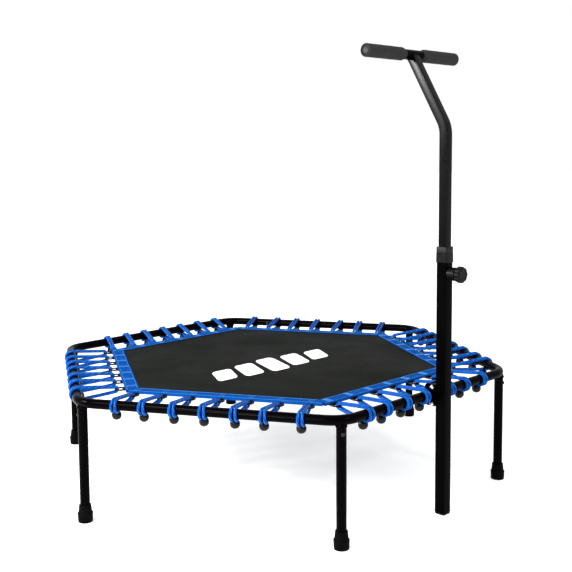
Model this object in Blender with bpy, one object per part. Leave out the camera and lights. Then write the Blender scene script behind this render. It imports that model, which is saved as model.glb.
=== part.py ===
"""Hexagonal mini trampoline with a height-adjustable T-bar handle.

Metres, +Z up. The floor is z = 0 and the origin is the centre of the footprint. The handle
stands on the -Y side. Corners and sides are counted anticlockwise seen from above: corner 0
is on +X, side 0 runs from corner 0 to corner 1, and side 4 is the one that holds the handle.
"""
import math

import bpy
import bmesh
from mathutils import Matrix, Vector

GAP = 0.0003                # running and touching clearance between separate pieces
PAST = 0.004                # how far a cutter reaches past the surface that it cuts

# Frame: round tube, bent once at each corner, plugged together near one end of each side.
SIDES = 6
SIDE = 0.650                # between the corners where straight rail centrelines would meet
RAIL_Z = 0.298              # height of the rail's centreline
TUBE_R = 0.012
TUBE_WALL = 0.0015
BEND_R = 0.075
BEND_STEPS = 3
TUBE_SEGMENTS = 12
SEAM_BEFORE = 0.25          # share of a side between a seam and the corner that follows it
SPIGOT_R = 0.0102
SPIGOT_BORE_R = 0.0088
SPIGOT_LENGTH = 0.035
SWAGE_START = 0.006         # from a seam back to where the bore starts to widen
SWAGE_END = 0.010
SCREW_INSET = 0.0175        # from a seam to its screw

# Legs and rubber feet.
STUB_R = 0.0100
STUB_LENGTH = 0.045
WELD_NECK_R = 0.0122
WELD_R = 0.0140
WELD_FOOT_R = 0.0128
WELD_TOP = 0.0070           # the weld collar's top, bulge and foot, below the rail's centreline
WELD_BULGE = 0.0130
WELD_DEPTH = 0.0165
LEG_BORE_R = 0.0103
LEG_SCREW_DROP = 0.030
FOOT_BASE_R = 0.0175
FOOT_R = 0.0185
FOOT_LIP_R = 0.0190
FOOT_NECK_R = 0.0165
FOOT_TOP_R = 0.0145
FOOT_LIP_LOW = 0.0200
FOOT_LIP_HIGH = 0.0225
FOOT_STEP = 0.0010
FOOT_HEIGHT = 0.0435
FOOT_FLOOR = 0.0062

# Screws.
SCREW_HEAD_R = 0.0045
SCREW_HEAD_HEIGHT = 0.0028
SCREW_SHANK_R = 0.0016
SCREW_HOLE_R = 0.0022
SCREW_CUT = 0.006           # depth of a screw's hole, through a tube and the tube in it
LEG_SCREW_LENGTH = 0.0075
RAIL_SCREW_LENGTH = 0.0055

# Mat, its webbing border and the ring strips under the border.
MAT_RADIUS = 0.5090
MAT_THICKNESS = 0.0020
MAT_CORNER = 0.020
BORDER_OUTER = 0.5110
BORDER_INNER = 0.4705
WEBBING = 0.0015
BORDER_TOP = 0.3014
BORDER_CORNER = 0.022
CORNER_LOSS = 0.45          # share of the way in from the border's edge that its corners tighten by
RING_PITCH = 0.075
RING_SHIFT = {1: 0.008, 2: -0.018, 3: -0.006}     # of a side's rings from the middle of that side
RING_THICKNESS = 0.0030
RING_REACH = 0.024          # from the border's edge to the tip of a ring
RING_WIDTH = 0.030
RING_ROOT = 0.004           # from the border's edge back to the root of a ring
STRIP_WIDTH = 0.024
STRIP_THICKNESS = 0.0016
STRIP_INSET = 0.002         # from the border's edge back to the strip's edge
STRIP_HALF = 0.236
TOUCH = 0.0004              # difference in level that keeps joined faces from coinciding

# Elastic loops with their balls.
LOOPS = 7
LOOP_PITCH = 0.075
CORD = 0.008
CORD_CLEAR = 0.0016         # of a loop's corners, whose flats then clear the rail
RING_CLEAR = 0.004          # from a ring's tip to the loops' inner end
TAPE_OUT = (0.001, 0.007)   # the tape that holds one side's loops together, from the rings' tips
TAPE_TOP = 0.0030           # above and below the border's top face
TAPE_BOTTOM = 0.0150
BALL_R = 0.0120
BALL_DROP = 0.0263          # ball centre below the rail's centreline
BALL_IN = 0.0100            # and inside it
BALL_SLIP = -0.003          # and along it, from the loop's middle
LOOP_PUSH = {               # metres that loops were pushed along the rail by hand
    1: (-0.032, -0.030, -0.029, -0.031, -0.031, -0.035, -0.039),
    2: (0.023, 0.021, 0.012, 0.006, 0.012, 0.012, 0.014),
    3: (-0.001, -0.005, -0.004, -0.004, -0.003, -0.008, 0.005),
    4: (-0.017, -0.027, -0.030, -0.031, -0.001, -0.012, -0.010),
}

# Handle: a square post clamped to side 4, and a sliding tube with a T-bar.
POST_X = 0.012
POST_OFFSET = 0.0146        # from the rail's centreline to the post's inner face
POST_WIDTH = 0.028
POST_WALL = 0.0020
POST_TOP = 0.655
POST_CORNER = 0.0025
INNER_CORNER = 0.0006       # least cut of a square tube's inner corners
PLUG_PLATE = 0.0035
PLUG_NECK = 0.024           # height that the post's plug reaches inside the post
PLUG_CORNER = 0.0012
PLUG_TAPER = 0.001
SLIDER_WIDTH = 0.0225
SLIDER_WALL = 0.0015
SLIDER_CORNER = 0.0022
SLIDER_BOTTOM = 0.432
BEND_Z = 0.952              # where the slider's straight centrelines meet
LEAN = math.radians(30)
SLIDER_BEND_R = 0.070
BAR_Z = 1.129
BAR_R = 0.0125
BAR_WALL = 0.0015
BAR_HALF = 0.173
GRIP_R = 0.0160
GRIP_LENGTH = 0.143
GRIP_END = 0.177            # outer end of a grip, from the handle's centre
GRIP_STEP = 0.0030          # fall of a grip's radius at both ends
GRIP_TAPER = 0.010
GRIP_ROUND = 0.0050
BAR_PLUG_DEPTH = 0.015
BAR_PLUG_EDGE = 0.0004
BAR_PLUG_CROWN_R = 0.0085
BAR_PLUG_CROWN = 0.0030
PIN_Z = 0.600
HOLE_PITCH = 0.050
HOLE_R = 0.0042
HOLES_BELOW = 3
HOLES_ABOVE = 2
COLLAR_BOTTOM = 0.627
COLLAR_BAND = 0.650
COLLAR_TOP = 0.665
COLLAR_WIDTH = 0.0304
COLLAR_FOOT_WIDTH = 0.0322
COLLAR_CORNER = 0.0030
COLLAR_LIP = 0.0006
COLLAR_EDGE = 0.0010

# Pull pin and its knob.
BOSS_R = 0.0095
BOSS_LENGTH = 0.016
BOSS_BORE_R = 0.0043
BOSS_CAP = 0.0035
BOSS_NECK_R = 0.0028
PIN_TIP_R = 0.0040
PIN_TIP_LENGTH = 0.0036
PIN_R = 0.0025
PIN_EDGE = 0.0007
PIN_SEAT = 0.008            # from the knob's face back to the pin's end
KNOB_REACH = 0.041          # from the post's face to the knob's face
KNOB_START = 0.0015         # from the post's face to the skirt's edge
KNOB_HEAD_R = 0.0200
KNOB_HEAD_DEPTH = 0.019
KNOB_SKIRT_R = 0.0155
KNOB_FLARE = 0.0012
KNOB_SHOULDER = 0.0040
KNOB_ROUND = 0.0030
KNOB_LOBES = 8
KNOB_LOBE_DEPTH = 0.0013
SPRING_TURNS = 4
SPRING_WIRE_R = 0.00045
SPRING_START = 0.0024       # from the post's face
SPRING_CLEAR = 0.0012

# Clamp: a folded bracket round the rail, bolted to a lug on the post.
LUG_START = 0.0018          # from the rail's centreline plane
LUG_HALF = 0.0270
BRACKET_HALF = 0.0275
BRACKET_BACK = 0.0155
BRACKET_PLATE = 0.0025
BRACKET_CUT = 0.0060
BOLT_DROP = 0.0210
BOLT_OUT = 0.0092
BOLT_R = 0.0030
BOLT_HOLE_R = 0.0034
BOLT_HEAD_R = 0.0060
BOLT_HEAD_EDGE = 0.0010
BOLT_HEAD_HEIGHT = 0.0035
NUT_R = 0.0058
NUT_HEXAGON = 0.0050
NUT_LENGTH = 0.0100
NUT_CROWN = 0.0028          # metal left beyond the blind hole
DOME_SHARE = 0.86           # of the nut's radius

APOTHEM = SIDE * math.cos(math.pi / SIDES)
CORNER_RADIUS = SIDE - BEND_R * (1 / math.cos(math.pi / SIDES) - 1)
CORD_WRAP = TUBE_R + CORD_CLEAR + CORD / 2
REACH_FRONT = APOTHEM + POST_OFFSET + POST_WIDTH + KNOB_REACH
REACH_BACK = APOTHEM + CORD_WRAP + CORD / 2
CENTRE_Y = (REACH_FRONT - REACH_BACK) / 2
POST_Y = -(APOTHEM + POST_OFFSET + POST_WIDTH / 2)
BAR_IN = (BAR_Z - BEND_Z) * math.tan(LEAN)
MAT_TOP = BORDER_TOP - WEBBING - GAP
UP = Vector((0, 0, 1))

FINISHES = {
    "black_tube": ((0.010, 0.010, 0.011), 0.34, 0.0),
    "charcoal_tube": ((0.016, 0.016, 0.017), 0.42, 0.0),
    "black_rubber": ((0.012, 0.012, 0.012), 0.75, 0.0),
    "black_plastic": ((0.020, 0.020, 0.021), 0.45, 0.0),
    "glossy_ball": ((0.008, 0.007, 0.009), 0.12, 0.0),
    "foam": ((0.030, 0.030, 0.031), 0.95, 0.0),
    "mat_cloth": ((0.013, 0.014, 0.013), 0.80, 0.0),
    "blue_webbing": ((0.004, 0.090, 0.620), 0.70, 0.0),
    "blue_cord": ((0.004, 0.110, 0.680), 0.55, 0.0),
    "black_webbing": ((0.010, 0.010, 0.010), 0.85, 0.0),
    "chrome": ((0.750, 0.750, 0.760), 0.12, 1.0),
    "zinc": ((0.550, 0.550, 0.560), 0.30, 1.0),
}


def clear_scene():
    for item in list(bpy.data.objects):
        bpy.data.objects.remove(item, do_unlink=True)


def finish(name):
    """The named finish as a Principled material, made once."""
    found = bpy.data.materials.get(name)
    if found:
        return found
    colour, roughness, metallic = FINISHES[name]
    material = bpy.data.materials.new(name)
    material.use_nodes = True
    shader = material.node_tree.nodes["Principled BSDF"]
    shader.inputs["Base Color"].default_value = (*colour, 1)
    shader.inputs["Roughness"].default_value = roughness
    shader.inputs["Metallic"].default_value = metallic
    return material


# ---------------------------------------------------------------- shapes

def skin(shape, loops, closed=False):
    """Bridges equal loops of points. Closed loops make a ring, open ones get end caps."""
    rings = [[shape.verts.new(point) for point in loop] for loop in loops]
    pairs = list(zip(rings, rings[1:]))
    if closed:
        pairs.append((rings[-1], rings[0]))
    else:
        shape.faces.new(rings[0])
        shape.faces.new(rings[-1])
    for first, second in pairs:
        count = len(first)
        for i in range(count):
            j = (i + 1) % count
            shape.faces.new((first[i], first[j], second[j], second[i]))


def new_object(name, shape):
    """Turns a bmesh into an object in the scene, with its faces pointing out."""
    bmesh.ops.recalc_face_normals(shape, faces=shape.faces)
    mesh = bpy.data.meshes.new(name)
    shape.to_mesh(mesh)
    shape.free()
    item = bpy.data.objects.new(name, mesh)
    bpy.context.scene.collection.objects.link(item)
    return item


def solid(name, *groups):
    """An object of one or more skins. A group is (loops, closed)."""
    shape = bmesh.new()
    for loops, closed in groups:
        skin(shape, loops, closed)
    return new_object(name, shape)


def combine(target, operand, operation):
    """Joins or cuts the target with an operand, which is used up."""
    modifier = target.modifiers.new("combine", "BOOLEAN")
    modifier.solver = "EXACT"
    modifier.operation = operation
    modifier.object = operand
    bpy.context.view_layer.update()
    depsgraph = bpy.context.evaluated_depsgraph_get()
    shaped = bpy.data.meshes.new_from_object(target.evaluated_get(depsgraph))
    target.modifiers.remove(modifier)
    target.data = shaped
    bpy.data.objects.remove(operand, do_unlink=True)


def dress(item, finish_name, sharp_degrees=35):
    """Gives an object its material and its shading."""
    item.data.materials.clear()
    item.data.materials.append(finish(finish_name))
    item.data.shade_smooth()
    item.data.set_sharp_from_angle(angle=math.radians(sharp_degrees))


def aim(point, direction):
    """A frame at a point with +Z along a direction."""
    turn = Vector(direction).to_track_quat("Z", "Y").to_matrix().to_4x4()
    return Matrix.Translation(point) @ turn


def turned(profile, segments, frame=None):
    """Loops of a turned shape. The profile is (radius, height) along the frame's Z."""
    frame = frame or Matrix()
    loops = []
    for radius, height in profile:
        angles = [2 * math.pi * i / segments for i in range(segments)]
        ring = [Vector((radius * math.cos(a), radius * math.sin(a), height)) for a in angles]
        loops.append([frame @ point for point in ring])
    return loops


def cylinder(name, radius, start, end, segments=12):
    """A plain round bar between two points, used as a cutter."""
    start = Vector(start)
    reach = Vector(end) - start
    return solid(name, (turned([(radius, 0), (radius, reach.length)], segments, aim(start, reach)), False))


def block(name, low, high):
    """A box between two corners."""
    loops = [
        [Vector((x, y, z)) for x, y in ((low[0], low[1]), (high[0], low[1]),
                                        (high[0], high[1]), (low[0], high[1]))]
        for z in (low[2], high[2])
    ]
    return solid(name, (loops, False))


def square_loop(width, corner, centre, across, along):
    """A square with cut corners, in the plane of two unit directions."""
    half = width / 2
    inner = half - corner
    outline = [(half, -inner), (half, inner), (inner, half), (-inner, half),
               (-half, inner), (-half, -inner), (-inner, -half), (inner, -half)]
    return [centre + across * a + along * b for a, b in outline]


def hexagon_loop(radius, z, corner, steps=2):
    """A hexagon of a circumradius, its corners rounded with an arc."""
    back = radius - corner / math.cos(math.pi / SIDES)
    points = []
    for k in range(SIDES):
        angle = 2 * math.pi * k / SIDES
        centre = Vector((back * math.cos(angle), back * math.sin(angle), z))
        for step in range(steps + 1):
            turn = angle + math.pi / SIDES * (2 * step / steps - 1)
            points.append(centre + corner * Vector((math.cos(turn), math.sin(turn), 0)))
    return points


# ---------------------------------------------------------------- frame

def tube_loop(centre, outward, radius):
    """A ring of the round tube, square to the rail, which runs level."""
    angles = [2 * math.pi * i / TUBE_SEGMENTS for i in range(TUBE_SEGMENTS)]
    return [centre + radius * (math.cos(a) * outward + math.sin(a) * UP) for a in angles]


def facing(angle):
    return Vector((math.cos(angle), math.sin(angle), 0))


def rail_section():
    """One rail section, drawn round corner 0: a bent tube with a spigot and a leg stub."""
    half_turn = math.pi / SIDES
    corner = Vector((SIDE, 0, RAIL_Z))
    before = facing(math.pi / 2 - half_turn)
    after = facing(math.pi / 2 + half_turn)
    start = corner - before * SIDE * SEAM_BEFORE
    end = corner + after * (SIDE * (1 - SEAM_BEFORE) - GAP)
    centre = Vector((SIDE - BEND_R / math.cos(half_turn), 0, RAIL_Z))
    bend = []
    for step in range(BEND_STEPS + 1):
        angle = half_turn * (2 * step / BEND_STEPS - 1)
        bend.append((centre + BEND_R * facing(angle), facing(angle)))
    first, last = facing(-half_turn), facing(half_turn)
    bore = TUBE_R - TUBE_WALL
    tip = end + after * SPIGOT_LENGTH
    outside = [(start, first, TUBE_R)] + [(p, d, TUBE_R) for p, d in bend]
    outside += [(end, last, TUBE_R), (end, last, SPIGOT_R), (tip, last, SPIGOT_R)]
    inside = [(tip, last, SPIGOT_BORE_R), (end - after * SWAGE_START, last, SPIGOT_BORE_R)]
    inside += [(end - after * SWAGE_END, last, bore)]
    inside += [(p, d, bore) for p, d in reversed(bend)] + [(start, first, bore)]
    section = solid("section", ([tube_loop(*station) for station in outside + inside], True))
    combine(section, leg_stub(), "UNION")
    for seam, run, outward in ((start, before, first), (end, after, last)):
        point = seam + run * SCREW_INSET
        combine(section, screw_hole(point, -outward, SCREW_CUT), "DIFFERENCE")
    low = Vector((CORNER_RADIUS, 0, RAIL_Z - LEG_SCREW_DROP))
    combine(section, screw_hole(low, facing(0), LEG_SCREW_LENGTH + PAST / 2), "DIFFERENCE")
    return section


def screw_hole(centre, outward, depth):
    """A cutter from a tube's surface inwards, square to its centreline."""
    inner = centre + outward * (TUBE_R - depth)
    return cylinder("hole", SCREW_HOLE_R, inner, centre + outward * (TUBE_R + PAST), 8)


def leg_stub():
    """The weld collar and the stub that the leg slides on, under corner 0."""
    frame = Matrix.Translation((CORNER_RADIUS, 0, RAIL_Z))
    profile = [(WELD_NECK_R, -WELD_TOP), (WELD_R, -WELD_BULGE), (WELD_FOOT_R, -WELD_DEPTH),
               (STUB_R, -WELD_DEPTH), (STUB_R, -WELD_DEPTH - STUB_LENGTH)]
    return solid("stub", (turned(profile, TUBE_SEGMENTS, frame), False))


def leg():
    """A leg tube at corner 0, open at both ends, with the hole for its screw."""
    top = RAIL_Z - WELD_DEPTH - GAP
    bottom = FOOT_FLOOR + GAP
    frame = Matrix.Translation((CORNER_RADIUS, 0, 0))
    profile = [(TUBE_R, bottom), (TUBE_R, top), (LEG_BORE_R, top), (LEG_BORE_R, bottom)]
    tube = solid("tube", (turned(profile, TUBE_SEGMENTS, frame), True))
    low = Vector((CORNER_RADIUS, 0, RAIL_Z - LEG_SCREW_DROP))
    combine(tube, screw_hole(low, facing(0), SCREW_CUT), "DIFFERENCE")
    return tube


def foot():
    """A rubber cap at corner 0: a wide base, a lip and a tapered collar round the leg."""
    frame = Matrix.Translation((CORNER_RADIUS, 0, 0))
    bore = TUBE_R + GAP
    profile = [(FOOT_BASE_R, 0), (FOOT_R, FOOT_LIP_LOW - FOOT_STEP), (FOOT_LIP_R, FOOT_LIP_LOW),
               (FOOT_LIP_R, FOOT_LIP_HIGH), (FOOT_NECK_R, FOOT_LIP_HIGH + FOOT_STEP),
               (FOOT_TOP_R, FOOT_HEIGHT), (bore, FOOT_HEIGHT), (bore, FOOT_FLOOR)]
    return solid("cap", (turned(profile, 12, frame), False))


def screw(name, seat, direction, length):
    """A pan-head screw. It seats at a point and its shank runs along a direction."""
    frame = aim(seat, -Vector(direction))
    profile = [(SCREW_SHANK_R, -length), (SCREW_SHANK_R, GAP), (SCREW_HEAD_R, GAP),
               (SCREW_HEAD_R * 0.8, SCREW_HEAD_HEIGHT)]
    return solid(name, (turned(profile, 8, frame), False))


def leg_screw():
    seat = Vector((CORNER_RADIUS + TUBE_R, 0, RAIL_Z - LEG_SCREW_DROP))
    return screw("screw", seat, (-1, 0, 0), LEG_SCREW_LENGTH)


def rail_screw():
    """The screw of a seam on the side that faces +X, on the tube's inner face."""
    along = SIDE * (0.5 - SEAM_BEFORE) + SCREW_INSET
    seat = Vector((APOTHEM - TUBE_R, along, RAIL_Z))
    return screw("screw", seat, (1, 0, 0), RAIL_SCREW_LENGTH)


# ---------------------------------------------------------------- mat

def jump_mat():
    bottom = MAT_TOP - MAT_THICKNESS
    loops = [hexagon_loop(MAT_RADIUS, z, MAT_CORNER) for z in (bottom, MAT_TOP)]
    return solid("sheet", (loops, False))


def mat_border():
    """Webbing folded over the mat's edge, above and below it."""
    under = MAT_TOP - MAT_THICKNESS - GAP
    edge = MAT_RADIUS + GAP
    outline = [(BORDER_OUTER, BORDER_TOP), (BORDER_INNER, BORDER_TOP),
               (BORDER_INNER, BORDER_TOP - WEBBING), (edge, BORDER_TOP - WEBBING),
               (edge, under), (BORDER_INNER, under),
               (BORDER_INNER, under - WEBBING), (BORDER_OUTER, under - WEBBING)]
    loops = [hexagon_loop(radius, z, BORDER_CORNER - (BORDER_OUTER - radius) * CORNER_LOSS)
             for radius, z in outline]
    return solid("fold", (loops, True))


def ring_place(side, index):
    """Where a ring sits along its side, from the side's middle."""
    return RING_PITCH * (index - (LOOPS - 1) / 2) + RING_SHIFT.get(side, 0)


def ring_strip(side):
    """The strip under one side's border, drawn facing +X, with a flat tongue for each ring."""
    top = MAT_TOP - MAT_THICKNESS - 2 * GAP - WEBBING
    edge = BORDER_OUTER * math.cos(math.pi / SIDES)
    strip = block("strip", (edge - STRIP_WIDTH, -STRIP_HALF, top - STRIP_THICKNESS),
                  (edge - STRIP_INSET, STRIP_HALF, top))
    root = edge - RING_ROOT
    tip = edge + RING_REACH
    widest = (root + 2 * tip) / 3
    outline = [(root, -0.25), (widest, -0.5), (tip, -0.25), (tip, 0.25), (widest, 0.5), (root, 0.25)]
    tongues = bmesh.new()
    for i in range(LOOPS):
        along = ring_place(side, i)
        loops = [[Vector((out, along + share * RING_WIDTH, z)) for out, share in outline]
                 for z in (top - RING_THICKNESS, top - TOUCH)]
        skin(tongues, loops)
    combine(strip, new_object("tongues", tongues), "UNION")
    return strip


# ---------------------------------------------------------------- elastic loops

def loop_push(side, index):
    """How far a loop sits from its even place on the rail."""
    if side in LOOP_PUSH:
        return LOOP_PUSH[side][index]
    return 0.005 * math.sin(2.3 * index + 1.7 * side)


def loop_path(ring_along, rail_along):
    """The centreline of a loop on the side that faces +X: over the rail, round it and back."""
    ring_out = BORDER_OUTER * math.cos(math.pi / SIDES) + RING_REACH + RING_CLEAR
    low_z = RAIL_Z - CORD_WRAP
    points = [Vector((ring_out, ring_along, BORDER_TOP))]
    for degrees in (95, 45, 0, -45, -90):
        angle = math.radians(degrees)
        points.append(Vector((APOTHEM + CORD_WRAP * math.cos(angle), rail_along,
                              RAIL_Z + CORD_WRAP * math.sin(angle))))
    points.append(Vector((APOTHEM - TUBE_R, rail_along, low_z)))
    points.append(Vector((ring_out, ring_along, BORDER_TOP - CORD - RING_CLEAR)))
    return points


def band_loops(path):
    """A flat band, two cords wide, along a path that lies across the rail."""
    loops = []
    for i, point in enumerate(path):
        run = path[min(i + 1, len(path) - 1)] - path[max(i - 1, 0)]
        run.y = 0
        lift = run.normalized().cross(Vector((0, 1, 0))) * CORD / 2
        wide = Vector((0, CORD, 0))
        loops.append([point + lift + wide, point + lift - wide,
                      point - lift - wide, point - lift + wide])
    return loops


def bungee_set(side):
    """The loops and balls of one side, drawn on the side that faces +X, on a thin tape."""
    ring_out = BORDER_OUTER * math.cos(math.pi / SIDES) + RING_REACH
    first = ring_place(side, 0) - CORD * 1.2
    last = ring_place(side, LOOPS - 1) + CORD * 1.2
    tape = block("tape", (ring_out + TAPE_OUT[0], first, BORDER_TOP - TAPE_BOTTOM),
                 (ring_out + TAPE_OUT[1], last, BORDER_TOP + TAPE_TOP))
    bands = bmesh.new()
    balls = bmesh.new()
    for i in range(LOOPS):
        rail_along = LOOP_PITCH * (i - (LOOPS - 1) / 2) + loop_push(side, i)
        skin(bands, band_loops(loop_path(ring_place(side, i), rail_along)))
        centre = Vector((APOTHEM - BALL_IN, rail_along + BALL_SLIP, RAIL_Z - BALL_DROP))
        arc = [math.radians(d) for d in (-60, 0, 60)]
        profile = [(BALL_R * math.cos(a), BALL_R * math.sin(a)) for a in arc]
        skin(balls, turned(profile, 8, Matrix.Translation(centre)))
    band_item = new_object("bands", bands)
    combine(band_item, new_object("balls", balls), "UNION")
    combine(tape, band_item, "UNION")
    return tape


# ---------------------------------------------------------------- handle

def square_tube(name, width, wall, corner, stations):
    """A square tube along stations of (centre, along). The across direction is +X."""
    across = Vector((1, 0, 0))
    inner_corner = max(corner - wall, INNER_CORNER)
    outside = [square_loop(width, corner, c, across, d) for c, d in stations]
    inside = [square_loop(width - 2 * wall, inner_corner, c, across, d) for c, d in stations]
    return solid(name, (outside + inside[::-1], True))


def lower_post():
    """The floor-standing post in its own frame: its axis is x = y = 0 and -Y faces out."""
    face = -POST_WIDTH / 2
    stations = [(Vector((0, 0, z)), Vector((0, 1, 0))) for z in (PLUG_PLATE + GAP, POST_TOP)]
    post = square_tube("post", POST_WIDTH, POST_WALL, POST_CORNER, stations)
    combine(post, post_lug(), "UNION")
    boss = cylinder("boss", BOSS_R, (0, face + POST_WALL / 2, PIN_Z), (0, face - BOSS_LENGTH, PIN_Z), 16)
    combine(post, boss, "UNION")
    bore_end = face - BOSS_LENGTH + BOSS_CAP
    bore = cylinder("bore", BOSS_BORE_R, (0, face + POST_WALL + PAST, PIN_Z), (0, bore_end, PIN_Z))
    combine(post, bore, "DIFFERENCE")
    neck = cylinder("neck", BOSS_NECK_R, (0, face, PIN_Z), (0, face - BOSS_LENGTH - PAST, PIN_Z))
    combine(post, neck, "DIFFERENCE")
    return post


def post_lug():
    """The lug welded on the post's inner face, hollowed to sit against the rail."""
    rail_y = POST_WIDTH / 2 + POST_OFFSET
    half = POST_WIDTH / 2
    lug = block("lug", (-half, half - POST_WALL / 2, RAIL_Z - LUG_HALF),
                (half, rail_y - LUG_START, RAIL_Z + LUG_HALF))
    rail = (-POST_WIDTH, rail_y, RAIL_Z), (POST_WIDTH, rail_y, RAIL_Z)
    seat = cylinder("seat", TUBE_R + GAP, *rail, 24)
    combine(lug, seat, "DIFFERENCE")
    for drop in (-BOLT_DROP, BOLT_DROP):
        y, z = rail_y - BOLT_OUT, RAIL_Z + drop
        hole = cylinder("hole", BOLT_HOLE_R, (-POST_WIDTH, y, z), (POST_WIDTH, y, z))
        combine(lug, hole, "DIFFERENCE")
    return lug


def post_foot():
    """The plastic plug that closes the post's lower end and stands on the floor."""
    neck = POST_WIDTH - 2 * POST_WALL - 2 * GAP
    levels = [(POST_WIDTH, POST_CORNER, 0), (POST_WIDTH, POST_CORNER, PLUG_PLATE),
              (neck, PLUG_CORNER, PLUG_PLATE), (neck - PLUG_TAPER, PLUG_CORNER, PLUG_NECK)]
    x_axis, y_axis = Vector((1, 0, 0)), Vector((0, 1, 0))
    loops = [square_loop(w, c, Vector((0, 0, z)), x_axis, y_axis) for w, c, z in levels]
    return solid("plug", (loops, False))


def post_collar():
    """The plastic sleeve on the post's top, which guides the sliding tube."""
    around_post = POST_WIDTH + 2 * GAP
    around_slider = SLIDER_WIDTH + 2 * GAP
    roof = POST_TOP + GAP
    outer = [(COLLAR_FOOT_WIDTH - COLLAR_LIP, COLLAR_BOTTOM),
             (COLLAR_FOOT_WIDTH, COLLAR_BOTTOM + COLLAR_EDGE),
             (COLLAR_WIDTH + COLLAR_LIP, COLLAR_BAND), (COLLAR_WIDTH, COLLAR_BAND + COLLAR_LIP),
             (COLLAR_WIDTH, COLLAR_TOP - COLLAR_EDGE), (COLLAR_WIDTH - 2 * COLLAR_EDGE, COLLAR_TOP)]
    levels = [(around_post, POST_CORNER, COLLAR_BOTTOM)]
    levels += [(width, COLLAR_CORNER, z) for width, z in outer]
    levels += [(around_slider, SLIDER_CORNER, COLLAR_TOP), (around_slider, SLIDER_CORNER, roof),
               (around_post, POST_CORNER, roof)]
    x_axis, y_axis = Vector((1, 0, 0)), Vector((0, 1, 0))
    loops = [square_loop(w, c, Vector((0, 0, z)), x_axis, y_axis) for w, c, z in levels]
    return solid("sleeve", (loops, True))


def slider():
    """The sliding tube: straight, bent inwards once, with the T-bar's tube welded on top."""
    stations = [(Vector((0, 0, SLIDER_BOTTOM)), Vector((0, 1, 0)))]
    drop = SLIDER_BEND_R * math.tan(LEAN / 2)
    centre = Vector((0, SLIDER_BEND_R, BEND_Z - drop))
    steps = 4
    for step in range(steps + 1):
        angle = LEAN * step / steps
        along = Vector((0, math.cos(angle), -math.sin(angle)))
        stations.append((centre - SLIDER_BEND_R * along, along))
    run = Vector((0, math.sin(LEAN), math.cos(LEAN)))
    bar_centre = Vector((0, BAR_IN, BAR_Z))
    stations.append((bar_centre - run * BAR_R / 3, stations[-1][1]))
    tube = square_tube("slider", SLIDER_WIDTH, SLIDER_WALL, SLIDER_CORNER, stations)
    bore = BAR_R - BAR_WALL
    profile = [(BAR_R, -BAR_HALF), (BAR_R, BAR_HALF), (bore, BAR_HALF), (bore, -BAR_HALF)]
    bar = solid("bar", (turned(profile, 16, aim(bar_centre, (1, 0, 0))), True))
    combine(tube, bar, "UNION")
    front = -SLIDER_WIDTH / 2
    for index in range(-HOLES_BELOW, HOLES_ABOVE + 1):
        z = PIN_Z + index * HOLE_PITCH
        hole = cylinder("hole", HOLE_R, (0, front - PAST, z), (0, front + PAST, z), 8)
        combine(tube, hole, "DIFFERENCE")
    return tube


def grip(side):
    """A foam sleeve on one end of the T-bar, its inner end tapered."""
    bore = BAR_R + GAP
    inner = GRIP_END - GRIP_LENGTH
    profile = [(bore, inner), (GRIP_R - GRIP_STEP, inner), (GRIP_R, inner + GRIP_TAPER),
               (GRIP_R, GRIP_END - GRIP_ROUND), (GRIP_R - GRIP_STEP, GRIP_END), (bore, GRIP_END)]
    frame = aim((0, BAR_IN, BAR_Z), (side, 0, 0))
    return solid("grip", (turned(profile, 16, frame), True))


def end_plug(side):
    """The cap that closes one end of the T-bar's tube, inside the grip's mouth."""
    neck = BAR_R - BAR_WALL - GAP
    face = BAR_HALF + GAP
    profile = [(neck - BAR_PLUG_EDGE, face - BAR_PLUG_DEPTH), (neck, face), (BAR_R, face),
               (BAR_R - BAR_PLUG_EDGE, face + BAR_PLUG_CROWN / 2),
               (BAR_PLUG_CROWN_R, face + BAR_PLUG_CROWN)]
    frame = aim((0, BAR_IN, BAR_Z), (side, 0, 0))
    return solid("plug", (turned(profile, 16, frame), False))


# ---------------------------------------------------------------- pull pin

def pull_pin():
    """The pin in its own frame: +Z is the pulling direction and z = 0 the post's face."""
    tip = -(POST_WALL + (POST_WIDTH / 2 - POST_WALL - SLIDER_WIDTH / 2) - GAP)
    shoulder = tip + PIN_TIP_LENGTH
    profile = [(PIN_TIP_R - PIN_EDGE, tip), (PIN_TIP_R, tip + PIN_EDGE), (PIN_TIP_R, shoulder),
               (PIN_R, shoulder), (PIN_R, KNOB_REACH - PIN_SEAT)]
    return solid("pin", (turned(profile, 12), False))


def pin_spring():
    """The coil between the pin's shoulder and the boss's cap, in the pin's frame."""
    coil_r = (BOSS_BORE_R + PIN_R) / 2
    low = SPRING_START
    high = BOSS_LENGTH - BOSS_CAP - SPRING_CLEAR
    steps = SPRING_TURNS * 8
    loops = []
    for step in range(steps + 1):
        angle = 2 * math.pi * SPRING_TURNS * step / steps
        out = Vector((math.cos(angle), math.sin(angle), 0))
        centre = out * coil_r + UP * (low + (high - low) * step / steps)
        ring = [2 * math.pi * i / 4 for i in range(4)]
        loops.append([centre + SPRING_WIRE_R * (math.cos(a) * out + math.sin(a) * UP) for a in ring])
    return solid("spring", (loops, False))


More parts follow.
